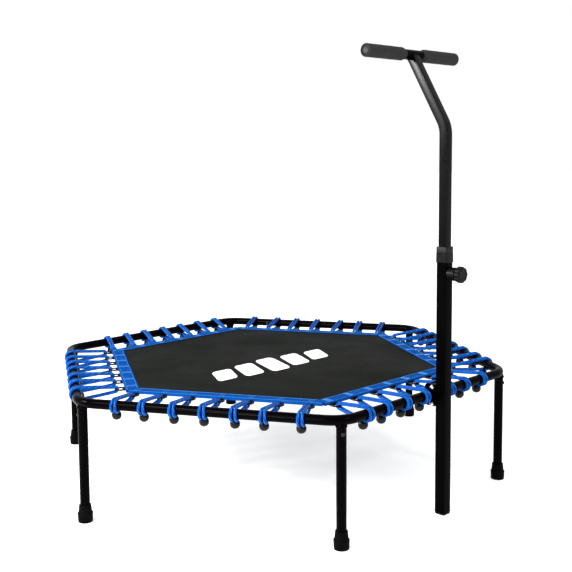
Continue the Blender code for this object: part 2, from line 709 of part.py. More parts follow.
def knob():
    """The lobed knob in the pin's frame: a skirt over the boss and an eight-lobed head."""
    segments = 24
    neck = KNOB_REACH - KNOB_HEAD_DEPTH
    outside = [(KNOB_SKIRT_R, KNOB_START, 0), (KNOB_SKIRT_R + KNOB_FLARE, neck, 0),
               (KNOB_HEAD_R, neck + KNOB_SHOULDER, 1), (KNOB_HEAD_R, KNOB_REACH - KNOB_ROUND, 1),
               (KNOB_HEAD_R - KNOB_SHOULDER, KNOB_REACH, 0.6)]
    hollow = BOSS_R + 2 * GAP
    shelf = BOSS_LENGTH + 2 * GAP
    inside = [(PIN_R + GAP, KNOB_REACH - PIN_SEAT + GAP, 0), (PIN_R + GAP, shelf, 0),
              (hollow, shelf, 0), (hollow, KNOB_START, 0)]
    loops = []
    for radius, height, lobed in outside[::-1] + inside[::-1]:
        ring = []
        for i in range(segments):
            angle = 2 * math.pi * i / segments
            reach = radius - KNOB_LOBE_DEPTH * lobed * (1 - math.cos(KNOB_LOBES * angle)) / 2
            ring.append(Vector((reach * math.cos(angle), reach * math.sin(angle), height)))
        loops.append(ring)
    return solid("knob", (loops, False))


# ---------------------------------------------------------------- clamp

def clamp_bracket():
    """The folded plate round the rail, in the post's frame: a back and four arms."""
    rail_y = POST_WIDTH / 2 + POST_OFFSET
    half = POST_WIDTH / 2 + GAP + BRACKET_PLATE
    back = rail_y + BRACKET_BACK
    front = POST_WIDTH / 2 + GAP
    tall = BRACKET_HALF
    cut = BRACKET_CUT
    outline = [(front, -tall), (front, tall), (back - cut, tall),
               (back, tall - cut), (back, cut - tall), (back - cut, -tall)]
    loops = [[Vector((x, y, RAIL_Z + z)) for y, z in outline] for x in (-half, half)]
    plate = solid("plate", (loops, False))
    web = back - BRACKET_PLATE
    room = block("room", (BRACKET_PLATE - half, front - PAST, RAIL_Z - 2 * tall),
                 (half - BRACKET_PLATE, web, RAIL_Z + 2 * tall))
    combine(plate, room, "DIFFERENCE")
    notch = TUBE_R + GAP
    slot = block("slot", (-2 * half, front - PAST, RAIL_Z - notch), (2 * half, web, RAIL_Z + notch))
    combine(plate, slot, "DIFFERENCE")
    for drop in (-BOLT_DROP, BOLT_DROP):
        y, z = rail_y - BOLT_OUT, RAIL_Z + drop
        hole = cylinder("hole", BOLT_HOLE_R, (-POST_WIDTH, y, z), (POST_WIDTH, y, z))
        combine(plate, hole, "DIFFERENCE")
    return plate


def clamp_bolt():
    """A round-headed bolt along -X. Its origin is where its axis meets the post's middle."""
    seat = POST_WIDTH / 2 + 2 * GAP + BRACKET_PLATE
    end = seat + NUT_LENGTH - NUT_CROWN
    profile = [(BOLT_R, -end), (BOLT_R, seat), (BOLT_HEAD_R, seat), (BOLT_HEAD_R, seat + BOLT_HEAD_EDGE),
               (BOLT_HEAD_R * 0.8, seat + BOLT_HEAD_HEIGHT * 0.8),
               (BOLT_HEAD_R * 0.4, seat + BOLT_HEAD_HEIGHT)]
    return solid("bolt", (turned(profile, 12, aim((0, 0, 0), (1, 0, 0))), False))


def dome_nut():
    """A cap nut for the bolt: a hexagon with a domed end, and a blind hole for the thread."""
    seat = POST_WIDTH / 2 + 2 * GAP + BRACKET_PLATE
    dome_r = NUT_R * DOME_SHARE
    rise = NUT_LENGTH - NUT_HEXAGON - TOUCH
    dome = [math.radians(d) for d in (20, 45, 70)]
    outside = [(NUT_R, 0, True), (NUT_R, NUT_HEXAGON, True), (dome_r, NUT_HEXAGON + TOUCH, False)]
    outside += [(dome_r * math.cos(a), NUT_HEXAGON + rise * math.sin(a), False) for a in dome]
    bore_r = BOLT_R + GAP
    inside = [(bore_r, NUT_LENGTH - NUT_CROWN + GAP, False), (bore_r, 0, False)]
    frame = aim((-seat, 0, 0), (-1, 0, 0))
    loops = []
    for radius, height, flats in outside[::-1] + inside[::-1]:
        ring = []
        for i in range(12):
            reach = radius * (math.cos(math.pi / 6) if flats and i % 2 else 1)
            angle = math.pi * i / 6
            ring.append(frame @ Vector((reach * math.cos(angle), reach * math.sin(angle), height)))
        loops.append(ring)
    return solid("nut", (loops, False))


# ---------------------------------------------------------------- assembly

def axis_empty(name, location, rotation=(0, 0, 0), parent=None):
    """An empty that carries the pieces of one joint or one group."""
    empty = bpy.data.objects.new(name, None)
    empty.empty_display_size = 0.05
    empty.location = location
    empty.rotation_euler = rotation
    empty.parent = parent
    bpy.context.scene.collection.objects.link(empty)
    return empty


def place(item, name, finish_name, parent, turn=0.0, location=(0, 0, 0)):
    """Names, dresses and parents a piece."""
    item.name = name
    item.data.name = name
    dress(item, finish_name)
    item.parent = parent
    item.location = location
    item.rotation_euler = (0, 0, turn)
    return item


def repeat(item, name, finish_name, parent, first_turn):
    """One object for each corner or side, all sharing the piece's mesh."""
    place(item, name + "_1", finish_name, parent, first_turn)
    for k in range(1, SIDES):
        copy = bpy.data.objects.new(f"{name}_{k + 1}", item.data)
        bpy.context.scene.collection.objects.link(copy)
        copy.parent = parent
        copy.rotation_euler = (0, 0, first_turn + 2 * math.pi * k / SIDES)


def side_turn(side):
    """Angle of a side's outward normal from +X."""
    return math.pi / SIDES * (2 * side + 1)


def build_frame(hub):
    repeat(rail_section(), "rail_section", "black_tube", hub, 0.0)
    repeat(leg(), "leg", "black_tube", hub, 0.0)
    repeat(foot(), "foot", "black_rubber", hub, 0.0)
    repeat(leg_screw(), "leg_screw", "zinc", hub, 0.0)
    repeat(rail_screw(), "rail_screw", "zinc", hub, math.pi / SIDES)


def build_mat(hub):
    centre = axis_empty("mat_axis", (0, 0, 0), parent=hub)
    place(jump_mat(), "jump_mat", "mat_cloth", centre)
    place(mat_border(), "mat_border", "blue_webbing", centre)
    for side in range(SIDES):
        place(ring_strip(side), f"ring_strip_{side + 1}", "black_webbing", centre, side_turn(side))


def build_bungees(hub):
    for side in range(SIDES):
        place(bungee_set(side), f"bungee_set_{side + 1}", "blue_cord", hub, side_turn(side))


def build_handle(hub):
    post = axis_empty("post_axis", (POST_X, POST_Y, 0), parent=hub)
    place(lower_post(), "lower_post", "charcoal_tube", post)
    place(post_foot(), "post_foot", "black_plastic", post)
    place(post_collar(), "post_collar", "black_plastic", post)
    place(clamp_bracket(), "clamp_bracket", "black_tube", post)
    bolt_y = POST_WIDTH / 2 + POST_OFFSET - BOLT_OUT
    for name, drop in (("upper", BOLT_DROP), ("lower", -BOLT_DROP)):
        spot = (0, bolt_y, RAIL_Z + drop)
        place(clamp_bolt(), f"clamp_bolt_{name}", "chrome", post, location=spot)
        place(dome_nut(), f"dome_nut_{name}", "chrome", post, location=spot)
    sliding = axis_empty("handle_axis", (0, 0, 0), parent=post)
    place(slider(), "handle_tube", "charcoal_tube", sliding)
    for name, side in (("left", -1), ("right", 1)):
        place(grip(side), f"grip_{name}", "foam", sliding)
        place(end_plug(side), f"bar_plug_{name}", "black_plastic", sliding)
    pin = axis_empty("pin_axis", (0, -POST_WIDTH / 2, PIN_Z), (math.pi / 2, 0, 0), post)
    place(pull_pin(), "pull_pin", "zinc", pin)
    place(pin_spring(), "pin_spring", "zinc", pin)
    place(knob(), "knob", "black_plastic", pin)


def main():
    clear_scene()
    hub = axis_empty("hexagon_centre", (0, CENTRE_Y, 0))
    build_frame(hub)
    build_mat(hub)
    build_bungees(hub)
    build_handle(hub)


main()
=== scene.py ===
"""The looks of a hexagonal mini trampoline with a T-bar handle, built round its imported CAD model.

Metres, +Z up, in the CAD model's frame. Corners and sides are counted anticlockwise from +X, and the
fifth side, on -Y, holds the handle. In a side's own frame +X points outwards and +Y runs along it.
"""
import math
import random

import bmesh
import bpy
import numpy as np
from mathutils import Matrix, Vector


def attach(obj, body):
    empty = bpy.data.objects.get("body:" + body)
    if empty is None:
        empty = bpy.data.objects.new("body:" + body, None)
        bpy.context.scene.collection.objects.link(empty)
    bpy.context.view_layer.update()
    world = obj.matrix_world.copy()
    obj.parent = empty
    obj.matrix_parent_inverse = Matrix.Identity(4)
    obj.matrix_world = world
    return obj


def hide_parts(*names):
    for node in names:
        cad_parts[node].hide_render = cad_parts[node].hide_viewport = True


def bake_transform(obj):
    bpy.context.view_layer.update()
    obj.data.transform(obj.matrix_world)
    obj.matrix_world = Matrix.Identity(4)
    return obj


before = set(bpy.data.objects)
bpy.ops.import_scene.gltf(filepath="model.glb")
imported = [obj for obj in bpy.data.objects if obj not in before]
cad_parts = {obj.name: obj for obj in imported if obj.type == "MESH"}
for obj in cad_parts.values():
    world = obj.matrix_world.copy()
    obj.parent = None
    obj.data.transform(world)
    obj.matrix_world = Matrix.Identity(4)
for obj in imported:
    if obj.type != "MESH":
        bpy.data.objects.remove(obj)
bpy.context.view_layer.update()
dice = random.Random(7)

# ---------------------------------------------------------------- sizes, as in the CAD model

SIDES = 6
SIDE = 0.650
RAIL_Z = 0.298
TUBE_R = 0.012
BEND_R = 0.075
SEAM_BEFORE = 0.25
SCREW_INSET = 0.0175
GAP = 0.0003
STUB_DEPTH = 0.0165
LEG_SCREW_DROP = 0.030
FOOT_HEIGHT = 0.0435

MAT_RADIUS = 0.5090
MAT_TOP = 0.2996
MAT_SAG = 0.0009
WEAVE_PITCH = 0.0026
BORDER_OUTER = 0.5110
BORDER_INNER = 0.4705
BORDER_TOP = 0.3014
BORDER_BOTTOM = 0.2958
LOOPS = 7
RING_PITCH = 0.075
RING_SHIFT = {1: 0.008, 2: -0.018, 3: -0.006}
RING_Z = 0.2947
RING_WIRE = 0.0022

LOOP_PITCH = 0.075
LOOP_PUSH = {
    1: (-0.032, -0.030, -0.029, -0.031, -0.031, -0.035, -0.039),
    2: (0.023, 0.021, 0.012, 0.006, 0.012, 0.012, 0.014),
    3: (-0.001, -0.005, -0.004, -0.004, -0.003, -0.008, 0.005),
    4: (-0.017, -0.027, -0.030, -0.031, -0.001, -0.012, -0.010),
}
CORD_R = 0.0036
BALL_R = 0.0120
BALL_DROP = 0.0263
BALL_IN = 0.0100
BALL_SLIP = -0.003

POST_X = 0.012
POST_OFFSET = 0.0146
POST_WIDTH = 0.028
POST_WALL = 0.0020
POST_FROM = 0.0038
POST_TOP = 0.655
SLIDER_WIDTH = 0.0225
SLIDER_BOTTOM = 0.432
BEND_Z = 0.952
LEAN = math.radians(30)
SLIDER_BEND_R = 0.070
BAR_Z = 1.129
BAR_R = 0.0125
GRIP_R = 0.0160
GRIP_LENGTH = 0.143
GRIP_END = 0.177
PIN_Z = 0.600
HOLE_PITCH = 0.050
HOLE_R = 0.0042
COLLAR_BOTTOM, COLLAR_BAND, COLLAR_TOP = 0.627, 0.650, 0.665
COLLAR_WIDTH, COLLAR_FOOT_WIDTH = 0.0304, 0.0322
BOSS_R, BOSS_LENGTH = 0.0095, 0.016
KNOB_REACH = 0.041
KNOB_HEAD_R = 0.0200
KNOB_HEAD_DEPTH = 0.019
KNOB_SKIRT_R = 0.0155
KNOB_LOBES = 8
BOLT_DROP = 0.0210
BOLT_OUT = 0.0092
BRACKET_PLATE = 0.0025
NUT_R = 0.0058

HALF_TURN = math.pi / SIDES
SLOPE = math.tan(HALF_TURN)
APOTHEM = SIDE * math.cos(HALF_TURN)
CORNER_RADIUS = SIDE - BEND_R * (1 / math.cos(HALF_TURN) - 1)
BORDER_EDGE = BORDER_OUTER * math.cos(HALF_TURN)
BORDER_INNER_EDGE = BORDER_INNER * math.cos(HALF_TURN)
CENTRE_Y = (POST_OFFSET + POST_WIDTH + KNOB_REACH - 0.0216) / 2
POST_Y = CENTRE_Y - (APOTHEM + POST_OFFSET + POST_WIDTH / 2)
BAR_IN = (BAR_Z - BEND_Z) * math.tan(LEAN)
RING_BAR = BORDER_EDGE + 0.0230
X_AXIS, Y_AXIS, UP = Vector((1, 0, 0)), Vector((0, 1, 0)), Vector((0, 0, 1))


def side_frame(side):
    """The frame of a side: +X is its outward normal and the origin is the hexagon's centre."""
    turn = HALF_TURN * (2 * side + 1)
    return Matrix.Translation((0, CENTRE_Y, 0)) @ Matrix.Rotation(turn, 4, "Z")


def ring_place(side, index):
    """Where a ring sits along its side."""
    return RING_PITCH * (index - (LOOPS - 1) / 2) + RING_SHIFT.get(side, 0)


def corner_frame(corner):
    """The frame of a corner: +X points out through it."""
    return Matrix.Translation((0, CENTRE_Y, 0)) @ Matrix.Rotation(2 * HALF_TURN * corner, 4, "Z")


def post_frame():
    return Matrix.Translation((POST_X, POST_Y, 0))


# ---------------------------------------------------------------- materials

class Paint:
    """A Principled material and short calls that wire procedural detail into it."""

    def __init__(self, name, colour, roughness, metallic=0.0, specular=0.5, coat=0.0, sheen=0.0):
        self.material = bpy.data.materials.new(name)
        self.material.use_nodes = True
        self.tree = self.material.node_tree
        self.shader = self.tree.nodes["Principled BSDF"]
        self.colour = (*colour, 1)
        self.set("Base Color", self.colour)
        self.set("Roughness", roughness)
        self.set("Metallic", metallic)
        self.set("Specular IOR Level", specular)
        self.set("Coat Weight", coat)
        self.set("Coat Roughness", 0.12)
        self.set("Sheen Weight", sheen)

    def set(self, socket, value):
        self.shader.inputs[socket].default_value = value

    def node(self, kind, **settings):
        made = self.tree.nodes.new(kind)
        for key, value in settings.items():
            setattr(made, key, value)
        return made

    def link(self, output, socket):
        self.tree.links.new(output, socket)

    def place(self, scale=(1, 1, 1)):
        """Points of the object in metres, stretched by a scale."""
        source = self.node("ShaderNodeTexCoord")
        mapping = self.node("ShaderNodeMapping")
        mapping.inputs["Scale"].default_value = scale
        self.link(source.outputs["Object"], mapping.inputs["Vector"])
        return mapping.outputs["Vector"]

    def own(self):
        """The piece's own map: turn share or width across, and metres along."""
        source = self.node("ShaderNodeUVMap", uv_map="Own")
        split = self.node("ShaderNodeSeparateXYZ")
        self.link(source.outputs["UV"], split.inputs["Vector"])
        return split.outputs["X"], split.outputs["Y"]

    def weave(self):
        """The height of a plain weave in the object's XY plane."""
        split = self.node("ShaderNodeSeparateXYZ")
        self.link(self.place(), split.inputs["Vector"])
        turns = 2 * math.pi / WEAVE_PITCH
        warp = self.math("SINE", self.math("MULTIPLY", split.outputs["X"], turns))
        weft = self.math("SINE", self.math("MULTIPLY", split.outputs["Y"], turns))
        return self.math("MULTIPLY", warp, weft)

    def noise(self, scale, detail=3.0, vector=None, roughness=0.55):
        made = self.node("ShaderNodeTexNoise")
        made.inputs["Scale"].default_value = scale
        made.inputs["Detail"].default_value = detail
        made.inputs["Roughness"].default_value = roughness
        self.link(vector or self.place(), made.inputs["Vector"])
        return made.outputs["Fac"]

    def cells(self, scale):
        made = self.node("ShaderNodeTexVoronoi")
        made.inputs["Scale"].default_value = scale
        self.link(self.place(), made.inputs["Vector"])
        return made.outputs["Distance"]

    def math(self, operation, first, second=None, clamp=False):
        made = self.node("ShaderNodeMath", operation=operation, use_clamp=clamp)
        for socket, value in zip(made.inputs, (first, second)):
            if value is None:
                continue
            if isinstance(value, (int, float)):
                socket.default_value = value
            else:
                self.link(value, socket)
        return made.outputs["Value"]

    def remap(self, value, low, high, new_low, new_high):
        made = self.node("ShaderNodeMapRange")
        self.link(value, made.inputs["Value"])
        limits = {"From Min": low, "From Max": high, "To Min": new_low, "To Max": new_high}
        for socket, number in limits.items():
            made.inputs[socket].default_value = number
        return made.outputs["Result"]

    def blend(self, share, first, second):
        """A colour between two colours. Either one may be an output."""
        made = self.node("ShaderNodeMix", data_type="RGBA")
        self.link(share, made.inputs["Factor"])
        colour_sockets = [s for s in made.inputs if s.type == "RGBA"]
        for socket, value in zip(colour_sockets, (first, second)):
            if isinstance(value, tuple):
                socket.default_value = (*value[:3], 1)
            else:
                self.link(value, socket)
        return [s for s in made.outputs if s.type == "RGBA"][0]

    def tint(self, colour):
        self.link(colour, self.shader.inputs["Base Color"])

    def rough(self, value):
        self.link(value, self.shader.inputs["Roughness"])

    def bump(self, height, depth, strength=1.0):
        made = self.node("ShaderNodeBump")
        made.inputs["Strength"].default_value = strength
        made.inputs["Distance"].default_value = depth
        self.link(height, made.inputs["Height"])
        self.link(made.outputs["Normal"], self.shader.inputs["Normal"])


def powder_coat(name, colour, roughness, specular):
    """Powder coat: a fine orange peel, faint dust, and a duller patch here and there."""
    paint = Paint(name, colour, roughness, specular=specular)
    patches = paint.noise(7, 4)
    paint.rough(paint.remap(patches, 0.3, 0.7, roughness - 0.05, roughness + 0.09))
    dust = paint.remap(paint.noise(340, 2), 0.62, 0.80, 0.0, 0.5)
    paint.tint(paint.blend(dust, colour, tuple(c * 2 + 0.0004 for c in colour)))
    peel = paint.noise(900, 2)
    paint.bump(paint.math("ADD", peel, paint.math("MULTIPLY", paint.noise(160, 2), 1.2)), 0.00003, 0.5)
    return paint.material


def moulded_plastic(name, colour, roughness, specular=0.4):
    """Spark-eroded plastic: a fine even grain with a slight mottle."""
    paint = Paint(name, colour, roughness, specular=specular)
    grain = paint.noise(1700, 2)
    mottle = paint.noise(60, 3)
    paint.tint(paint.blend(mottle, tuple(c * 0.75 for c in colour), tuple(c * 1.35 for c in colour)))
    paint.rough(paint.remap(mottle, 0.3, 0.7, roughness - 0.06, roughness + 0.08))
    paint.bump(grain, 0.00003, 0.6)
    return paint.material


def gloss_plastic():
    """Polished ball plastic, with flow marks and fine scuffs."""
    paint = Paint("ball_gloss", (0.0012, 0.0008, 0.0012), 0.11, specular=0.16)
    scuffs = paint.noise(90, 5, paint.place((1, 1, 3)))
    paint.rough(paint.remap(scuffs, 0.35, 0.7, 0.08, 0.18))
    paint.tint(paint.blend(scuffs, (0.0008, 0.0006, 0.0009), (0.0022, 0.0018, 0.0024)))
    paint.bump(paint.noise(45, 2), 0.0002, 0.25)
    return paint.material


def rubber():
    """Moulded rubber with a dusty bloom and a coarse, dull surface."""
    paint = Paint("foot_rubber", (0.002, 0.002, 0.002), 0.62, specular=0.03)
    bloom = paint.remap(paint.noise(35, 4), 0.4, 0.8, 0.0, 1.0)
    paint.tint(paint.blend(bloom, (0.0006, 0.0004, 0.0006), (0.0020, 0.0017, 0.0018)))
    paint.bump(paint.noise(1100, 3), 0.00016, 0.7)
    return paint.material


def foam():
    """Closed-cell foam: small open pores, with painted shade in them, in a matt, slightly mottled skin."""
    paint = Paint("grip_foam", (0.012, 0.012, 0.0125), 0.90, specular=0.08, sheen=0.02)
    pores = paint.cells(1150)
    mottle = paint.noise(110, 3)
    skin = paint.blend(mottle, (0.015, 0.015, 0.0155), (0.026, 0.026, 0.0265))
    # The pores are darkened towards near-black: painted shade in the recesses.
    painted_pore_shade = paint.remap(pores, 0.0, 0.35, 1.0, 0.0)
    paint.tint(paint.blend(paint.math("MULTIPLY", painted_pore_shade, 0.45), skin, (0.006, 0.006, 0.006)))
    paint.bump(paint.math("ADD", pores, paint.math("MULTIPLY", mottle, 0.8)), 0.00016, 0.7)
    return paint.material


def mat_weave():
    """Plain weave of flat polypropylene yarns, with streaks where yarns differ and painted highlight on the
    raised crossings.
    """
    paint = Paint("mat_weave", (0.006, 0.007, 0.006), 0.55, specular=0.022)
    crossing = paint.weave()
    yarns = paint.math("ADD", paint.noise(240, 2, paint.place((1, 0.03, 1))),
                       paint.noise(240, 2, paint.place((0.03, 1, 1))))
    worn = paint.noise(5, 4)
    streaks = paint.remap(yarns, 0.7, 1.3, 0.0, 1.0)
    base = paint.blend(streaks, (0.0026, 0.0032, 0.0026), (0.0052, 0.0062, 0.0050))
    # Raised yarn crossings are lighter: painted highlight.
    painted_crossing_highlight = paint.remap(crossing, -1.0, 1.0, 0.0, 0.45)
    paint.tint(paint.blend(painted_crossing_highlight, base, (0.0075, 0.0090, 0.0072)))
    paint.rough(paint.remap(worn, 0.3, 0.7, 0.55, 0.72))
    paint.bump(paint.math("ADD", crossing, paint.math("MULTIPLY", yarns, 0.6)), 0.0003, 0.55)
    return paint.material


def print_ink():
    """White screen print that lets the weave show through a little."""
    paint = Paint("white_ink", (0.86, 0.86, 0.86), 0.60, specular=0.3)
    crossing = paint.weave()
    thin = paint.remap(paint.noise(70, 5), 0.62, 0.80, 0.0, 0.35)
    paint.tint(paint.blend(thin, (0.88, 0.88, 0.88), (0.55, 0.56, 0.56)))
    paint.bump(crossing, 0.0002, 0.4)
    return paint.material


def webbing(name, dark, mid, light, rib=0.0021):
    """Woven webbing from its own map: ribs along the band and floats across them, with shade painted into the
    grooves and light streaks painted along single threads as highlights.
    """
    paint = Paint(name, mid, 0.72, specular=0.015)
    across, along = paint.own()
    ribs = paint.math("SINE", paint.math("MULTIPLY", across, 2 * math.pi / rib))
    lean = paint.math("ADD", paint.math("MULTIPLY", along, 2 * math.pi / 0.0024),
                      paint.math("MULTIPLY", across, math.pi / rib))
    floats = paint.math("SINE", lean)
    height = paint.math("ADD", ribs, paint.math("MULTIPLY", floats, 0.7))
    shade = paint.remap(height, -1.6, 1.6, 0.0, 1.0)
    cloth = paint.blend(shade, dark, mid)
    # Light streaks along the band, placed at random: painted highlight on single threads.
    long_map = paint.node("ShaderNodeCombineXYZ")
    paint.link(paint.math("MULTIPLY", across, 700), long_map.inputs["X"])
    paint.link(paint.math("MULTIPLY", along, 12), long_map.inputs["Y"])
    streaks = paint.noise(1.0, 3, long_map.outputs["Vector"])
    paint.tint(paint.blend(paint.remap(streaks, 0.52, 0.78, 0.0, 0.85), cloth, light))
    paint.bump(height, 0.00035, 0.8)
    return paint.material


def braid():
    """Braided cord from its own map: two sets of yarns that cross, with painted shade in the grooves between
    yarns and painted highlights on the yarn crests.
    """
    paint = Paint("blue_braid", (0.001, 0.075, 0.40), 0.50, specular=0.04)
    around, along = paint.own()
    yarns = 6
    turn = paint.math("MULTIPLY", around, 2 * math.pi * yarns)
    step = paint.math("MULTIPLY", along, 2 * math.pi / 0.0088)
    one = paint.math("SINE", paint.math("ADD", step, turn))
    two = paint.math("SINE", paint.math("SUBTRACT", step, turn))
    height = paint.math("MAXIMUM", one, two)
    # The grooves between yarns get a near-black blue: painted shade.
    deep = paint.remap(height, -0.2, 0.9, 0.0, 1.0)
    body = paint.blend(deep, (0.0002, 0.006, 0.08), (0.0004, 0.080, 0.42))
    drift = paint.noise(38, 3)
    toned = paint.blend(paint.remap(drift, 0.35, 0.7, 0.0, 0.4), body, (0.001, 0.125, 0.54))
    slow = paint.math("SINE", paint.math("ADD", paint.math("MULTIPLY", along, 2 * math.pi / 0.0176),
                                         paint.math("MULTIPLY", around, 2 * math.pi * 2)))
    # Light flecks on the crests of one yarn set: painted highlight.
    crest = paint.remap(one, 0.55, 0.95, 0.0, 1.0)
    painted_crest_highlight = paint.math("MULTIPLY", crest, paint.remap(slow, 0.35, 0.8, 0.0, 0.8))
    paint.tint(paint.blend(painted_crest_highlight, toned, (0.07, 0.29, 0.72)))
    paint.bump(height, 0.0006, 0.9)
    return paint.material


def bright_metal(name, colour, roughness, scale):
    """Plated steel with faint brushed lines and duller spots."""
    paint = Paint(name, colour, roughness, metallic=1.0)
    lines = paint.noise(scale, 4, paint.place((1, 1, 0.08)))
    spots = paint.remap(paint.noise(260, 4), 0.5, 0.8, 0.0, 1.0)
    paint.tint(paint.blend(spots, colour, tuple(c * 0.6 for c in colour)))
    paint.rough(paint.remap(lines, 0.3, 0.7, roughness * 0.7, roughness * 1.7))
    paint.bump(lines, 0.00005, 0.4)
    return paint.material


BLACK_COAT = powder_coat("rail_coat", (0.0004, 0.0001, 0.0004), 0.20, 0.018)
POST_COAT = powder_coat("post_coat", (0.0004, 0.0004, 0.0004), 0.30, 0.012)
HANDLE_COAT = powder_coat("handle_coat", (0.0006, 0.0006, 0.0006), 0.20, 0.075)
PLASTIC = moulded_plastic("black_moulding", (0.0014, 0.0014, 0.0016), 0.36, 0.10)
BAND_PLASTIC = moulded_plastic("collar_moulding", (0.0055, 0.0055, 0.0058), 0.42, 0.12)
RING_PLASTIC = moulded_plastic("ring_moulding", (0.0015, 0.0012, 0.0015), 0.25, 0.18)
BALL_PLASTIC = gloss_plastic()
RUBBER = rubber()
FOAM = foam()
MAT_CLOTH = mat_weave()
INK = print_ink()
BLUE_WEBBING = webbing("blue_webbing", (0.0003, 0.024, 0.17), (0.0006, 0.074, 0.35), (0.005, 0.165, 0.50))
BLACK_WEBBING = webbing("black_webbing", (0.001,) * 3, (0.004,) * 3, (0.008,) * 3, 0.0016)
THREAD = webbing("light_thread", (0.03, 0.18, 0.55), (0.09, 0.34, 0.76), (0.20, 0.50, 0.88), 0.0008)
BRAID = braid()
CHROME = bright_metal("chrome_plate", (0.80, 0.80, 0.81), 0.10, 300)
ZINC = bright_metal("zinc_plate", (0.55, 0.56, 0.58), 0.28, 500)
BLACK_ZINC = bright_metal("black_zinc_plate", (0.035, 0.034, 0.036), 0.34, 500)


# ---------------------------------------------------------------- mesh tools

def bridge(loops, wrap=False, capped=True, turned_map=False):
    """A skin over equal closed loops of points, as (points, faces, a map for each face corner).

    wrap joins the last loop to the first. The map holds the distance round a loop, or the share of a
    turn where turned_map is set, and then the distance along the loops.
    """
    rows = np.array([[tuple(p) for p in loop] for loop in loops], float)
    count, size = rows.shape[:2]
    middles = rows.mean(1)
    steps = np.linalg.norm(np.diff(rows, axis=0), axis=2).mean(1) if count > 1 else np.zeros(0)
    along = np.concatenate([[0], np.cumsum(steps)])
    ring = rows[count // 2]
    edge = np.linalg.norm(np.roll(ring, -1, 0) - ring, axis=1)
    around = np.concatenate([[0], np.cumsum(edge)])
    if turned_map:
        around = np.linspace(0, 1, size + 1)
    faces, maps = [], []
    pairs = [(i, i + 1) for i in range(count - 1)] + ([(count - 1, 0)] if wrap else [])
    for i, j in pairs:
        top = along[j] if j else along[-1] + np.linalg.norm(middles[0] - middles[-1])
        for k in range(size):
            m = (k + 1) % size
            faces.append((i * size + k, i * size + m, j * size + m, j * size + k))
            maps += [(around[k], along[i]), (around[k + 1], along[i])]
            maps += [(around[k + 1], top), (around[k], top)]
    if capped and not wrap:
        for i in (0, count - 1):
            faces.append(tuple(range(i * size, (i + 1) * size)))
            maps += [(around[k], along[i]) for k in range(size)]
    return rows.reshape(-1, 3), faces, maps


def merged(parts):
    """Several skins as one."""
    points, faces, maps = [], [], []
    start = 0
    for part_points, part_faces, part_maps in parts:
        points.append(part_points)
        faces += [tuple(i + start for i in face) for face in part_faces]
        maps += part_maps
        start += len(part_points)
    return np.concatenate(points), faces, maps


def make_mesh(name, parts, material, sharp=40):
    points, faces, maps = merged(parts)
    mesh = bpy.data.meshes.new(name)
    mesh.from_pydata(points.tolist(), [], faces)
    layer = mesh.uv_layers.new(name="Own")
    layer.data.foreach_set("uv", np.array(maps, np.float32).ravel())
    mesh.materials.append(material)
    outward(mesh)
    mesh.shade_smooth()
    mesh.set_sharp_from_angle(angle=math.radians(sharp))
    return mesh


def outward(mesh):
    """Turns the faces of each closed shell outwards."""
    shape = bmesh.new()
    shape.from_mesh(mesh)
    bmesh.ops.recalc_face_normals(shape, faces=shape.faces)
    shape.to_mesh(mesh)
    shape.free()


def place(name, mesh, matrix, body, replaced=()):
    """An object that shows a copy of a mesh, rides on a body and stands for CAD nodes."""
    shaped = mesh.copy()
    shaped.transform(matrix)
    item = bpy.data.objects.new(name, shaped)
    bpy.context.scene.collection.objects.link(item)
    if body:
        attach(item, body)
    if replaced:
        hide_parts(*replaced)
    return item


def add(name, parts, material, body, replaced=(), matrix=None, sharp=40):
    return place(name, make_mesh(name, parts, material, sharp), matrix or Matrix(), body, replaced)


def arc(start, end, steps):
    """Angles in radians between two angles in degrees."""
    return [math.radians(start + (end - start) * i / steps) for i in range(steps + 1)]


def rounded(profile, fillets, steps=4):
    """An open outline in a plane with its inner corners turned into arcs of given radii."""
    made = [tuple(profile[0])]
    for i in range(1, len(profile) - 1):
        before, corner, after = (Vector(p) for p in profile[i - 1:i + 2])
        back, ahead = (before - corner), (after - corner)
        radius = fillets[i]
        if radius <= 0 or back.length < 1e-9 or ahead.length < 1e-9:
            made.append(tuple(corner))
            continue
        half = back.angle(ahead) / 2
        reach = min(radius / max(math.tan(half), 1e-6), back.length * 0.49, ahead.length * 0.49)
        first, last = corner + back.normalized() * reach, corner + ahead.normalized() * reach
        for step in range(steps + 1):
            t = step / steps
            made.append(tuple((1 - t) ** 2 * first + 2 * t * (1 - t) * corner + t * t * last))
    made.append(tuple(profile[-1]))
    return made


def aim(point, direction):
    turn = Vector(direction).to_track_quat("Z", "Y").to_matrix().to_4x4()
    return Matrix.Translation(point) @ turn


def turned(profile, segments, matrix=None, wobble=None):
    """Loops of a turned shape. The profile is (radius, height) along +Z of the matrix."""
    matrix = matrix or Matrix()
    loops = []
    for radius, height in profile:
        ring = []
        for i in range(segments):
            angle = 2 * math.pi * i / segments
            reach = radius + (wobble(angle, radius, height) if wobble else 0)
            ring.append(matrix @ Vector((reach * math.cos(angle), reach * math.sin(angle), height)))
        loops.append(ring)
    return loops


